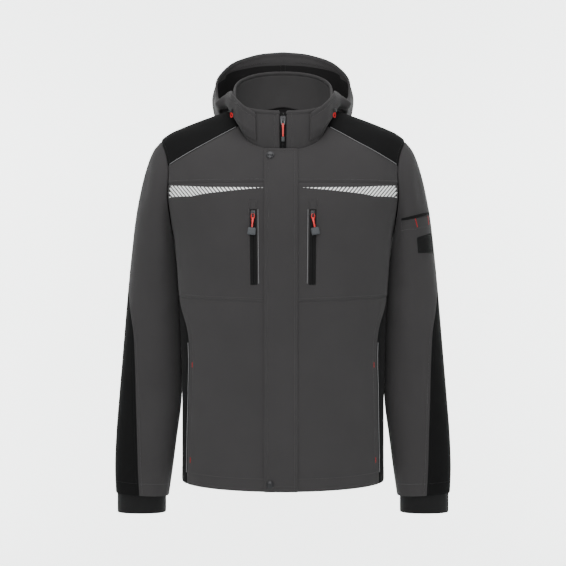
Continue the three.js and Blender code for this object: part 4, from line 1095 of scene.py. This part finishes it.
def panel_grid(bottom, top, left, right, columns, rows):
    """A grid that fills four edges, laid on the torso's surface."""
    width = (mean_length(bottom) + mean_length(top)) / 2
    height = (mean_length(left) + mean_length(right)) / 2
    s = lines(columns, max(2, round(width / columns / 5.0)), width)
    t = lines(rows, max(2, round(height / rows / 5.5)), height)
    b, u, l, r = bottom(s)[None], top(s)[None], left(t)[:, None], right(t)[:, None]
    s, t = s[None, :, None], t[:, None, None]
    p = (
        b * (1 - t) + u * t + l * (1 - s) + r * s
        - b[:, :1] * (1 - s) * (1 - t) - b[:, -1:] * s * (1 - t)
        - u[:, :1] * (1 - s) * t - u[:, -1:] * s * t
    )
    p[1:-1, 1:-1] = project(p[1:-1, 1:-1])
    return p


# Panels of the body.
for name, (bottom, top, left, right, columns, rows, paired, colour, seams) in PANELS.items():
    p = panel_grid(bottom, top, left, right, columns, rows)
    n = torso_normal(p)
    for suffix, mirror in SIDES if paired else (("", False),):
        sheet = Sheet(p, n)
        sheet.lift += body_relief(p * FLIP if mirror else p)
        sheet.under += sheet.lift
        hem = name in ("front_low", "side", "back_main")
        sheet.roll(["left", "right", "top"]).roll(["bottom"], *((0.5, 1.6) if hem else ()))
        for side, distance in zip(("left", "right", "bottom", "top"), seams):
            if distance:
                sheet.groove(side, distance).welt(side, distance + 1.4)
                stitch(*sheet.line(side, distance, 3), colour + "_thread", mirror=mirror)
        node = f"{name}_{suffix}" if paired else name
        build(sheet, node, "cloth", colour, "fleece", CLOTH, mirror, hangs=[HANGS[name].format(suffix)])

# Sleeves, each half from one angle round the arm to another.
FRONT_HALF = (sl_seam, lambda k: UNDERARM + 0 * k)
BACK_HALF = (lambda k: UNDERARM - 360 + 0 * k, sl_seam)
for part, colour, seam_side, (start, stop), columns in (
    ("sleeve_front", "grey", "left", FRONT_HALF, 60),
    ("sleeve_back", "black", "right", BACK_HALF, 44),
):
    k = (lines(12, 9, 700) * (len(SLEEVE) - 1))[:, None]
    angle = mix(start(k), stop(k), lines(1, columns, 240)[None, :])
    k = np.broadcast_to(k, angle.shape)
    p, n = sleeve_point(k, angle), sleeve_normal(k, angle)
    for suffix, mirror in SIDES:
        sheet = Sheet(p, n)
        sheet.lift += sleeve_relief(k, angle + (6 if mirror else 0))
        sheet.under += sheet.lift
        sheet.roll(["left", "right", "bottom"]).roll(["top"], 0.5, 1.6)
        sheet.groove("top", HEM_STITCH).groove(seam_side, SEAM_STITCH)
        stitch(*sheet.line("top", HEM_STITCH, 3), colour + "_thread", mirror=mirror)
        if part == "sleeve_front":
            stitch(*sheet.line(seam_side, SEAM_STITCH, 3), colour + "_thread", mirror=mirror)
        node = f"{part}_{suffix}"
        build(sheet, node, "cloth", colour, "fleece", CLOTH, mirror, hangs=["yoke_" + suffix])

# Inner cuffs, gathered a little where they leave the sleeve.
turns = np.linspace(0, 360, 128, endpoint=False)
cuff_x, cuff_y = (CUFF_OUT + CUFF_IN) / 2, (CUFF_FRONT + CUFF_BACK) / 2
# Drops over which the cuff leaves the sleeve's outline, and its slope.
OUTLINE_DROP, SLOPE_DROP = 16, 8
v, u = rounded(np.radians(turns), SLEEVE_SQUARE)
head = sleeve_point(CUFF_ROW, turns)
head = head - sleeve_normal(np.full(turns.shape, CUFF_ROW), turns) * (CLOTH + 2 * SEAT)
cuff_rows = [head]
for z in CUFF_LEVELS:
    ring = point(cuff_x + (CUFF_OUT - CUFF_IN) / 2 * u, cuff_y - (CUFF_BACK - CUFF_FRONT) / 2 * v, z)
    below = CUFF_START - z
    row = mix(head, ring, clamp(below / OUTLINE_DROP) ** 0.7)
    row[:, 2] = mix(head[:, 2], z, clamp(below / SLOPE_DROP))
    cuff_rows.append(row)
p = np.array(cuff_rows)
n = unit(np.cross(np.roll(p, -1, 1) - np.roll(p, 1, 1), np.gradient(p, axis=0)))
n = turned_to(n, p - point(cuff_x, cuff_y, p[..., 2]))
for suffix, mirror in SIDES:
    sheet = Sheet(p, n, ring=True)
    sheet.roll(["top"], 0.5, 2.0, under=True)
    ripple = 0.35 * np.sin(np.radians(turns) * 9 + np.sin(np.radians(turns) * 2))
    sheet.lift += ripple * np.exp(-sheet.v / 18) - 0.2
    build(sheet, "cuff_" + suffix, "knit", "knit", "knit", 2.2, mirror, hangs=["sleeve_front_" + suffix])

# Collar: two layers with a rolled top edge, and a slack inner one.
angles = mix(neck_zip, 2 * math.pi - neck_zip, lines(40, 4, 520))
rises = np.concatenate([[-0.012], lines(6, 3, 74)[1:]])
angles, rises = np.meshgrid(angles, rises)
p = collar_point(angles, rises)
sheet = Sheet(p, turned_to(grid_normal(p), outward(p)))
middle = np.sin(math.pi * clamp(rises))
sheet.lift += 0.25 * np.sin(sheet.u / 17 + 2 * np.sin(sheet.u / 61)) * middle
top = sheet.edge("top")
roll = 0.9 * bell(top - 2.2, 2.6) - 0.75 * bell(top - 6.4, 1.2)
sheet.lift += roll
sheet.under -= roll * (1 + 0.35 * np.sin(sheet.u / 3.4 + 1.3 * np.sin(sheet.u / 19)))
sheet.under += 0.5 * np.sin(sheet.u / 8.5 + 2.2 * np.sin(sheet.u / 47)) * middle**0.7
sheet.roll(["left", "right"], 0.6, 1.8).groove("left", 9).groove("right", 9)
for side in ("left", "right"):
    stitch(*sheet.line(side, 9, 3), "grey_thread")
build(
    sheet, "collar", "cloth", "grey", "collar_inside", COLLAR_THICK,
    hangs=["front_zip_tape"], round_by=1.0,
)

# Hood, two halves with a seam over the crown.
station, share = np.meshgrid(lines(9, 9, 440) * 9, lines(1, 40, 220))
p = hood_point(station, share)
n = grid_normal(p)
if np.sum(n * (p - [0, 95, 60])) < 0:
    n = -n
n[:, -1, 0] = 0
n = unit(n)
for suffix, mirror in SIDES:
    sheet = Sheet(p, n)
    shift = 0.7 if mirror else 0.0
    wave = np.sin(station * 2.3 + shift) * np.sin(math.pi * share)
    wave += 0.6 * np.sin(station * 5.1 + 2 * share + shift)
    fade = clamp(station / 2.5) * clamp((9 - station) / 1.5) * clamp(share * 4)
    sheet.lift += 0.9 * wave * fade
    sheet.under += sheet.lift
    sheet.roll(["right"], 1.0, 2.0)
    rim = sheet.edge("top")
    hem = 1.1 * bell(rim - 2.2, 3) - 0.5 * bell(rim - 9, 1.1)
    sheet.lift += hem
    sheet.under -= hem
    sheet.groove("right", 5, 0.3)
    for side, distance, proud in (("top", 9, 0.2), ("right", 5, 0.1)):
        q, m = sheet.line(side, distance, 3)
        stitch(q, m, "grey_thread", mirror=mirror)
        stitch(q - m * (HOOD_THICK + proud), -m, "grey_thread", mirror=mirror)
    # Inside, a facing along the rim covers the edge of a darker lining. The facing is painted lighter than
    # the shell cloth as painted light, and the lining's dark colour is partly its own and partly painted
    # shade.
    facing = np.interp(station, *zip(*FACING))
    sheet.under -= FACING_THICK / 2 * (1 - np.tanh((rim - facing) / 0.7))
    q, m = sheet.line("top", facing[0] - 2.5, 30)
    stitch(q - m * (HOOD_THICK + FACING_THICK + 0.1), -m, "grey_thread", mirror=mirror)
    build(
        sheet, "hood_" + suffix, "cloth", "grey", ("hood_facing_painted_light", "hood_lining_painted_shade"), HOOD_THICK, mirror,
        hangs=["collar"], lined_and_shaded=rim > facing,
    )

# Storm flap, folded at its free edge on the wearer's right.
z = mix(HEM_Z, FLAP_TOP, lines(1, 120, 660))[:, None]
x = mix(FLAP_LEFT, FLAP_RIGHT, lines(1, 13, 63.5))[None, :]
sheet = Sheet(*on_front(x, z, SEAT + FLAP_THICK))
sheet.roll(["right"], 0.9, 1.6).roll(["left", "top", "bottom"], 0.35, 1.2)
sheet.groove("left", 7).groove("right", 6).groove("top", 6).groove("bottom", 10, 0.3)
sheet.lift += 0.5 * bell(sheet.edge("left") - 2.5, 3)
sheet.under += 0.5 * bell(sheet.edge("left"), 4)
for side, distance in (("left", 7), ("right", 6), ("top", 6), ("bottom", 10)):
    stitch(*sheet.line(side, distance, 3), "grey_thread")
build(sheet, "storm_flap", "cloth", "grey", "grey", FLAP_THICK, hangs=["front_top_l"])


def strip(x_of, half_width, z0, z1, thick, columns):
    """A band that lies on the front of the body."""
    z = mix(z0, z1, lines(1, max(4, int(abs(z1 - z0) / 3)), abs(z1 - z0), (0, 0)))[:, None]
    x = x_of(z) + np.linspace(-half_width, half_width, columns + 1)[None, :]
    return Sheet(*on_front(x, z, SEAT + thick))


def chest_x(z):
    return mix(CHEST_TOP_X, CHEST_BOTTOM_X, (CHEST_TOP_Z - z) / (CHEST_TOP_Z - CHEST_BOTTOM_Z))


def zip_lips(d):
    """Two lips of a covered zip, at a distance from its middle."""
    return 0.35 * bell(np.abs(d) - 2, 1.3) - 0.8 * bell(d, 0.6)


# Chest zips, each with a garage over its top and a stitched line beside it.
for suffix, mirror in SIDES:
    sheet = strip(chest_x, 6, CHEST_BOTTOM_Z, CHEST_TOP_Z, 1.2, 24)
    sheet.lift += zip_lips(np.linspace(-6, 6, 25))
    sheet.roll(EDGES, 0.25, 0.8)
    build(sheet, "chest_zip_" + suffix, "tape", "tape", "tape", 1.2, mirror)
    sheet = strip(chest_x, 7, CHEST_TOP_Z + 0.3, CHEST_TOP_Z + 18, 1.0, 12)
    sheet.roll(EDGES, 0.25, 0.8)
    build(sheet, "zip_garage_" + suffix, "cloth", "grey", "grey", 1.0, mirror, hangs=["front_mid_" + suffix])
    for side in ("left", "right", "top"):
        stitch(*sheet.line(side, 1.8, 1.5), "black_thread", 2.4, 1.8, 0.25, mirror=mirror)
    z = np.linspace(CHEST_BOTTOM_Z - 4, CHEST_TOP_Z + 20, 60)
    stitch(*on_front(chest_x(z) + 8.6, z), "grey_thread", lift=0.15, mirror=mirror)


def pipe(node, points, mirror):
    q, m = on_body(points, mirror, 0.1 + PIPING_RADIUS)
    tube(node, "cord", q, PIPING_RADIUS, "piping", 10, mirror)
    stitch(q + m * PIPING_RADIUS, m, "light_thread", 3.0, 2.0, 0.5, -0.25, mirror)


for suffix, mirror in SIDES:
    pipe("yoke_piping_" + suffix, yoke_seam(np.linspace(0.03, 0.97, 60)), mirror)
    z = np.linspace(CHEST_BOTTOM_Z + 2, CHEST_TOP_Z, 50)
    pipe("chest_piping_" + suffix, front_point(chest_x(z) - 9.4, z), mirror)
    hand_pocket = side_seam(SIDE_SEAM_FRONT, -700, -446)(np.linspace(0, 1, 70))
    pipe("pocket_piping_" + suffix, hand_pocket, mirror)

# Hatched reflective band under the chest seam: x and height of its top and bottom edge.
STRIPE_TOP = np.array([(40.1, -147.6), (145.9, -145.9), (229.4, -139.6)])
STRIPE_BOTTOM = np.array(
    [
        (40.1, -148.1), (76.4, -151.1), (116.7, -155.0), (155.5, -159.1), (175.2, -163.1),
        (214.1, -162.6), (229.9, -164.7),
    ]
)
STRIPE_PITCH, STRIPE_BAR, STRIPE_LEAN, STRIPE_THICK = 7.7, 4.5, 0.85, 0.2
STRIPE_ROWS, STRIPE_COLUMNS = 9, 5
# Where the first and the last bar may start, the longest bar's drop, and the least x and
# distance to the armhole that a bar keeps.
STRIPE_FIRST, STRIPE_LAST, STRIPE_DROP, STRIPE_MIN_X, STRIPE_ARM_GAP = 40, 250, 26, 36, 1.5


def arm_x(z):
    """Where the armhole crosses a height, on the front."""
    return arm_point(np.arccos(np.clip((z - ARM_Z) / ARM_HALF_Z, -1, 1)))[..., 0]


def stripe_bars(mirror):
    for start in np.arange(STRIPE_FIRST, STRIPE_LAST, STRIPE_PITCH):
        # Each bar runs down and away from the arm, as far as the band reaches.
        drop = np.linspace(0, STRIPE_DROP, 105)
        z = np.interp(start, *STRIPE_TOP.T) - drop
        x = start - drop * STRIPE_LEAN
        kept = (z >= np.interp(x, *STRIPE_BOTTOM.T)) & (x > STRIPE_MIN_X)
        kept &= x + STRIPE_BAR / 2 < arm_x(z) - STRIPE_ARM_GAP
        if kept.sum() < 3:
            continue
        # The armhole cuts the outermost bars, and only what lies below the cut stays.
        cut = np.flatnonzero(~kept[: np.flatnonzero(kept)[-1]])
        kept[: cut[-1] + 1 if len(cut) else 0] = False
        if kept.sum() < 3:
            continue
        pick = np.linspace(0, kept.sum() - 1, STRIPE_ROWS).astype(int)
        z, x = z[kept][pick, None], x[kept][pick, None]
        width = min(STRIPE_BAR, 1.6 * np.ptp(z) + 1.6)
        q = front_point(x + np.linspace(-width / 2, width / 2, STRIPE_COLUMNS), z)
        top, under = (on_body(q, mirror, lift)[0] for lift in (STRIPE_THICK + 0.02, 0.02))
        yield loft(np.concatenate([top[:, ::-1], under], 1))


for suffix, mirror in SIDES:
    points, faces = merged(list(stripe_bars(mirror)))
    make("stripe_" + suffix, points, faces, "film", smooth=False, mirror=mirror)

# Front zip: tape, and teeth in two rows.
body_z = np.linspace(HEM_Z + 1, -76, 140)
q, m = on_front(0 * body_z, body_z)
rise = np.linspace(0.06, 0.97, 24)
tape_line = np.concatenate([q + [0, 4.8, 0], collar_point(0 * rise, rise)])
tape_normal = np.concatenate([m, np.tile([0.0, -1.0, 0.0], (len(rise), 1))])
spread = np.linspace(-12, 12, 25)
p = tape_line[:, None] + point(spread, 0, 0)
n = np.broadcast_to(tape_normal[:, None], p.shape)
sheet = Sheet(p + n * TAPE_FACE, n)
sheet.lift += 0.25 * bell(np.abs(spread) - 10.5, 1) - 0.1
build(sheet, "front_zip_tape", "cloth", "tape", "tape", 1.1)
# Sections of a tooth: place across the tape, and size.
TOOTH = ((-1.5, 0.5), (0, 1), (1.5, 0.5))
a = 2 * math.pi * np.arange(6)[:, None] / 6
teeth = []
places = zip(*resample(tape_line + tape_normal * (TAPE_FACE + 0.1), tape_normal, 1.6))
shown = [place for place in places if not SLIDER_LOW < place[0][2] < SLIDER_HIGH]
for i, (c, up, way) in enumerate(shown):
    middle = 0.2 if i % 2 else -0.2
    section = way * np.cos(a) * 0.62 + up * (np.sin(a) * 0.75 + 0.2)
    teeth.append(loft([c + [middle + x, 0, 0] + section * size for x, size in TOOTH]))
make("front_zip_teeth", *merged(teeth), "coil")

# Snap caps: a domed cap with a rolled rim and a shallow dish.
CAP = [(6.9, 0.0), (7.5, 0.3), (7.7, 0.8), (7.6, 1.3), (7.2, 1.75), (6.6, 1.9), (6.1, 1.75), (5.7, 1.8)]
CAP += [(5.0, 2.2), (4.0, 2.6), (2.6, 2.85), (1.2, 2.97), (0.3, 3.0)]
for name, z in (("snap_top", -85), ("snap_hem", -714)):
    q, m = on_front(-24.5, z, FLAP_THICK + 2 * SEAT)
    points, faces = lathe(CAP, 48)
    make(name + "_cap", placed(points, q, m), faces, "gunmetal", node=name, slot="snap_metal")

# Sleeve pocket on the wearer's left: zip, bar tacks, stitched outline and blank patch.


def sleeve_sheet(path, half_rows, a0, a1, thick, columns, rows):
    angle = mix(a0, a1, np.linspace(0, 1, columns + 1)[None, :])
    k = through(path, 1)(angle) + np.linspace(half_rows, -half_rows, rows + 1)[:, None]
    return Sheet(*on_sleeve(k, np.broadcast_to(angle, k.shape), SEAT + thick))


sheet = sleeve_sheet(SLEEVE_ZIP_PATH, 2.3 / 34, 116, 26, 1.2, 80, 14)
sheet.lift += zip_lips(sheet.v - sheet.v[-1:] / 2)
sheet.roll(EDGES, 0.5, 1.0)
build(sheet, "sleeve_zip", "tape", "tape", "tape", 1.2)
sheet = sleeve_sheet(SLEEVE_PATCH_PATH, 0.325, 78, 33, 0.8, 34, 34)
for side in EDGES:
    sheet.welt(side, 3.2, 0.35)
sheet.roll(EDGES, 0.3, 0.8)
for side in EDGES:
    stitch(*sheet.line(side, 1.8, 1.8), "black_thread", 2.2, 1.7, 0.25)
build(sheet, "sleeve_patch", "cloth", "patch", "patch", 0.8, hangs=["sleeve_front_l"])
for corners in ([(1.84, 117), (2.5, 117)], [(2.5, 117), (3.05, 98), (3.53, 81), (3.92, 56), (4.18, 34)]):
    at = np.linspace(0, len(corners) - 1, 80)
    k, angle = (np.interp(at, range(len(corners)), column) for column in zip(*corners))
    stitch(*on_sleeve(k, angle), "grey_thread", lift=0.2)


def bar_tack(p, n, mirror=False):
    """Close zigzag stitches, 2 mm wide, along a short line."""
    for i, (q, m, t) in enumerate(zip(*resample(p, n, 0.75))):
        side = unit(np.cross(m, t)) + t * (0.35 if i % 2 else -0.35)
        a, b = q + side, q - side
        stitch(np.array([a, mix(a, b, 0.5), b]), np.array([m] * 3), "red_thread", 4, 2.1, 0.42, 0.25, mirror)


for k0, a0, k1, a1 in ((3.06, 77, 3.58, 74), (3.68, 38, 4.03, 39)):
    s = np.linspace(0, 1, 12)
    bar_tack(*on_sleeve(mix(k0, k1, s), mix(a0, a1, s)))

# Hand pockets: the stitched line inside the piping, and a bar tack at each end.
for suffix, mirror in SIDES:
    for z0, z1 in ((-494, -484), (-680, -670)):
        q = side_seam(SIDE_SEAM_FRONT, z0, z1)(np.linspace(0, 1, 10))
        bar_tack(*on_body(front_point(q[:, 0] - 7, q[:, 2]), mirror), mirror)
    q = side_seam(SIDE_SEAM_FRONT, -690, -372)(np.linspace(0, 1, 120))
    stitch(*on_body(front_point(q[:, 0] - 9, q[:, 2]), mirror), "grey_thread", lift=0.2, mirror=mirror)

flush_threads()

# Hood cord ends: a grooved stopper, and under it the cord's red loop.
CORD_STATION, CORD_SHARE, CORD_LIFT = 1.85, 0.48, 0.5
# The lower half of the stopper: radius, height.
STOPPER = [(0.4, -4.0), (1.5, -3.95), (2.3, -3.7), (2.9, -3.1), (3.3, -2.2), (3.5, -1.2), (3.55, -0.7)]
STOPPER += [(3.25, -0.45)]
STOPPER += [(r, -h) for r, h in STOPPER[::-1]]
LOOP = [(-0.9, -3.4, 0), (-1.6, -4.9, -0.5), (-3.2, -6.9, -1.4), (-3.7, -9.0, -1.6), (-2.7, -11.6, -1.6)]
LOOP += [(0, -12.9, -1.6)] + [(-x, y, z) for x, y, z in LOOP[::-1]]
here = hood_point(CORD_STATION, CORD_SHARE)
up, round_neck = hood_point(CORD_STATION, CORD_SHARE + 0.02), hood_point(CORD_STATION + 0.02, CORD_SHARE)
way = np.cross(up - here, round_neck - here)
way = unit(way * [1, 1, 0] * np.sign(way[0]))
barrel, barrel_faces = lathe(STOPPER, 32)
barrel = barrel[:, [0, 2, 1]] * [1, 1, -1]
rows = np.column_stack([np.arange(len(LOOP)), LOOP])
path = np.stack([through(rows, c)(np.linspace(0, len(LOOP) - 1, 61)) for c in (1, 2, 3)], -1)
for suffix, sign in (("l", 1), ("r", -1)):
    out = way * [sign, 1, 1]
    at = here * [sign, 1, 1] + out * (3.6 + CORD_LIFT)
    name = "cord_stopper_" + suffix
    make(name + "_barrel", placed(barrel, at, out), barrel_faces, "dark_rubber", node=name)
    tube("cord_loop_" + suffix, "cord", placed(path, at, out), 1.2, "cord")

# Sliders and pulls, each in the frame of its pin: x to the viewer's right, y up the zip, z out.
PIN = 5.6  # height of a chest zip's pin over the cloth
PIN_HEIGHT = 1.7  # of a pin over its slider's body
SLIDER_BODY = 2.1
SLIDER_Z = CHEST_TOP_Z - 8
RING_LENGTH = 11


def rounded_plate(outline, thick, edge, bevel_rows=3):
    """A flat shape with rounded edges, from an outline turned the positive way."""
    centre = outline.mean(0)
    spread = np.abs(outline - centre).max(0)
    rings = []
    for side in (-1, 1):
        for t in np.linspace(0, math.pi / 2, bevel_rows + 1)[::-side]:
            ring = centre + (outline - centre) * (1 - edge * (1 - math.sin(t)) / spread)
            rings.append(point(ring[:, 0], ring[:, 1], side * (thick / 2 - edge * (1 - math.cos(t)))))
    return loft(rings)


def round_corners(corners, radius, steps=5):
    corners = np.array(corners, float)
    out = []
    for before, c, after in zip(np.roll(corners, 1, 0), corners, np.roll(corners, -1, 0)):
        a, b = c + unit(before - c) * radius, c + unit(after - c) * radius
        out += [a * (1 - t) ** 2 + c * 2 * t * (1 - t) + b * t * t for t in np.linspace(0, 1, steps + 1)]
    return np.array(out)


def askew(points, slant):
    """Turned about the ring's lower end."""
    c, s = math.cos(slant), math.sin(slant)
    p = points + [0, RING_LENGTH, 0]
    return point(p[:, 0] * c - p[:, 1] * s, p[:, 0] * s + p[:, 1] * c, p[:, 2]) - [0, RING_LENGTH, 0]


def slider_parts(zip_name, at, out, scale):
    """The slider's body and the bridge that holds the pull's pin."""
    corners = [(-4.6, 5), (-4.6, -2), (-3.3, -8), (3.3, -8), (4.6, -2), (4.6, 5), (3.3, 6), (-3.3, 6)]
    plate, plate_faces = rounded_plate(round_corners(corners, 0.9) * scale, SLIDER_BODY, 0.6)
    plate = plate - [0, 0, PIN_HEIGHT + SLIDER_BODY / 2]
    ends = [(2.55, -2.1), (2.55, 2.1), (-3.55, 2.1), (-3.55, -2.1)]
    arch = np.concatenate([ends[:1], round_corners(ends, 1.3)[6:-6], ends[-1:]])
    a = np.linspace(0, 2 * math.pi, 16, endpoint=False)
    wide, high = 1.3 * np.sign(np.cos(a)) * np.abs(np.cos(a)) ** 0.6, 0.45 * np.sin(a)
    runs = unit(np.gradient(arch, axis=0))
    band = [point(wide, q[0] - d[1] * high, q[1] + d[0] * high) for q, d in zip(arch, runs)]
    points, faces = merged([(plate, plate_faces), loft(band)])
    name = zip_name + "_slider"
    make(name + "_body", placed(points, at, out), faces, "gunmetal", node=name)


def pull_parts(zip_name, at, out, body, loop_look, tip_look, stem_end, tip_half, tip_length, slant):
    # The loop: two arms that widen downwards and join round the grip.
    t = np.linspace(0, 2 * math.pi, 32, endpoint=False)
    width = 2.6 + 0.8 * (1 - np.cos(t)) / 2
    loop = point(np.sin(t) * width, -RING_LENGTH / 2 + np.cos(t) * (RING_LENGTH / 2), 0)
    tube(zip_name + "_ring", "loop", placed(loop, at, out), 0.75, loop_look, body=body, ring=True)
    # The grip wraps the loop's lower end and narrows to a stem.
    start = -RING_LENGTH + 3.4
    left = [(-1.3, start), (-1.9, start - 2), (-2.1, -RING_LENGTH - 3), (-1.5, -RING_LENGTH - 7)]
    left += [(-1.5, stem_end)]
    corners = left + [(-x, y) for x, y in left[::-1]]
    points, faces = rounded_plate(round_corners(corners, 0.5, 3), 2.8, 0.7)
    points, name = placed(askew(points, slant), at, out), zip_name + "_grip"
    make(name + "_cord", points, faces, "red", body=body, node=name)
    # The tip: a moulded tab with a raised border round a blank face.
    top, low = stem_end - 0.3, stem_end - tip_length
    wide, middle = tip_half * 0.94, (top + low) / 2
    corners = np.array([(-wide, top), (-tip_half, low), (tip_half, low), (wide, top)])
    radius = min(2.4, tip_half * 0.5)
    inset, inset_faces = rounded_plate(
        round_corners([0, middle] + (corners - [0, middle]) * 0.74, radius * 0.8), 0.8, 0.3
    )
    tab = rounded_plate(round_corners(corners, radius), 3.2, 0.9)
    points, faces = merged([tab, (inset + [0, 0, 1.6], inset_faces)])
    points, name = placed(askew(points, slant), at, out), zip_name + "_tip"
    make(name + "_tab", points, faces, tip_look, body=body, node=name)


for suffix, sign, slant in (("l", 1, math.radians(10)), ("r", -1, math.radians(-5))):
    q, m = on_front(sign * chest_x(SLIDER_Z), SLIDER_Z, PIN)
    slider_parts("chest_" + suffix, q, m, 1)
    pull_parts("chest_" + suffix, q, m, "chest_pull_" + suffix, "red", "rubber", -27, 8, 14.3, slant)
m = np.cross([1.0, 0, 0], unit(collar_point(0, 1.0) - collar_point(0, 0.3)))
q = collar_point(0, 0.78) + m * 0.65
slider_parts("front", q, m, 1.25)
pull_parts("front", q, m, "front_pull", "nickel", "dark_rubber", -33, 3.6, 10.3, 0.0)

# Studio.
PHOTO_PIXELS, MM_PER_PIXEL = 566, 2
CAMERA_AWAY, CAMERA_HEIGHT = 2800, -330
SENSOR = 36
scene = bpy.context.scene
camera = add("camera", bpy.data.cameras.new("camera"))
camera.location = (0, -CAMERA_AWAY * MM, CAMERA_HEIGHT * MM)
camera.rotation_euler = (math.radians(90), 0, 0)
camera.data.sensor_width = SENSOR
camera.data.lens = SENSOR * CAMERA_AWAY / (PHOTO_PIXELS * MM_PER_PIXEL)
scene.camera = camera

world = bpy.data.worlds.new("studio")
world.use_nodes = True
world.node_tree.nodes["Background"].inputs[0].default_value = (0.93, 0.95, 0.94, 1)
world.node_tree.nodes["Background"].inputs[1].default_value = 0.6
scene.world = world


def backdrop():
    """A floor that curves up into a wall."""
    profile = [(-6.0, 0.0), (2.2, 0.0)]
    turns = np.linspace(0.05, math.pi / 2, 24)
    profile += [(2.2 + 1.6 * math.sin(a), 1.6 - 1.6 * math.cos(a)) for a in turns]
    profile += [(3.8, 6.0)]
    vertices = [(x, y, z - 1.35) for y, z in profile for x in (-9, 9)]
    faces = [(2 * i, 2 * i + 1, 2 * i + 3, 2 * i + 2) for i in range(len(profile) - 1)]
    mesh = bpy.data.meshes.new("backdrop")
    mesh.from_pydata(vertices, [], faces)
    mesh.polygons.foreach_set("use_smooth", [True] * len(faces))
    g = Graph("backdrop_paper")
    g.bsdf.inputs["Base Color"].default_value = (0.92, 0.935, 0.93, 1)
    g.bsdf.inputs["Roughness"].default_value = 0.95
    g.bsdf.inputs["Specular IOR Level"].default_value = 0.1
    g.bsdf.inputs["Emission Color"].default_value = (0.93, 0.945, 0.94, 1)
    # The wall glows round its middle, and the glow fades before the floor and the far sides.
    away = g.node("VectorMath", operation="DISTANCE")
    away.inputs[1].default_value = (0, 3.8, -0.33)
    g.link(g.place, away.inputs[0])
    glow = g.node("MapRange", **{"From Min": 1.9, "From Max": 3.6, "To Min": 2.3, "To Max": 0.0})
    glow.interpolation_type = "SMOOTHSTEP"
    g.link(away.outputs["Value"], glow.inputs["Value"])
    g.link(glow.outputs[0], g.bsdf.inputs["Emission Strength"])
    mesh.materials.append(g.material)
    add("backdrop", mesh)


backdrop()


def light(name, place, aim, size, power):
    data = bpy.data.lights.new(name, "AREA")
    data.shape, data.size, data.size_y = "RECTANGLE", *size
    data.energy = power
    obj = add(name, data)
    obj.location = place
    obj.rotation_euler = (Vector(aim) - Vector(place)).to_track_quat("-Z", "Y").to_euler()


light("front_softbox", (-0.5, -3.6, 1.1), (0, 0, -0.35), (2.8, 2.4), 88)
light("top_softbox", (0, -0.6, 2.6), (0, 0, 0), (2.4, 2.0), 66)
for side, sign in (("left", -1), ("right", 1)):
    light("side_softbox_" + side, (3.2 * sign, -1.8, 0.3), (0, 0, -0.3), (1.4, 2.6), 8)
    light("wall_" + side, (2.5 * sign, 1.9, 0.2), (2.5 * sign, 3.8, 0.2), (2.2, 3.0), 90)
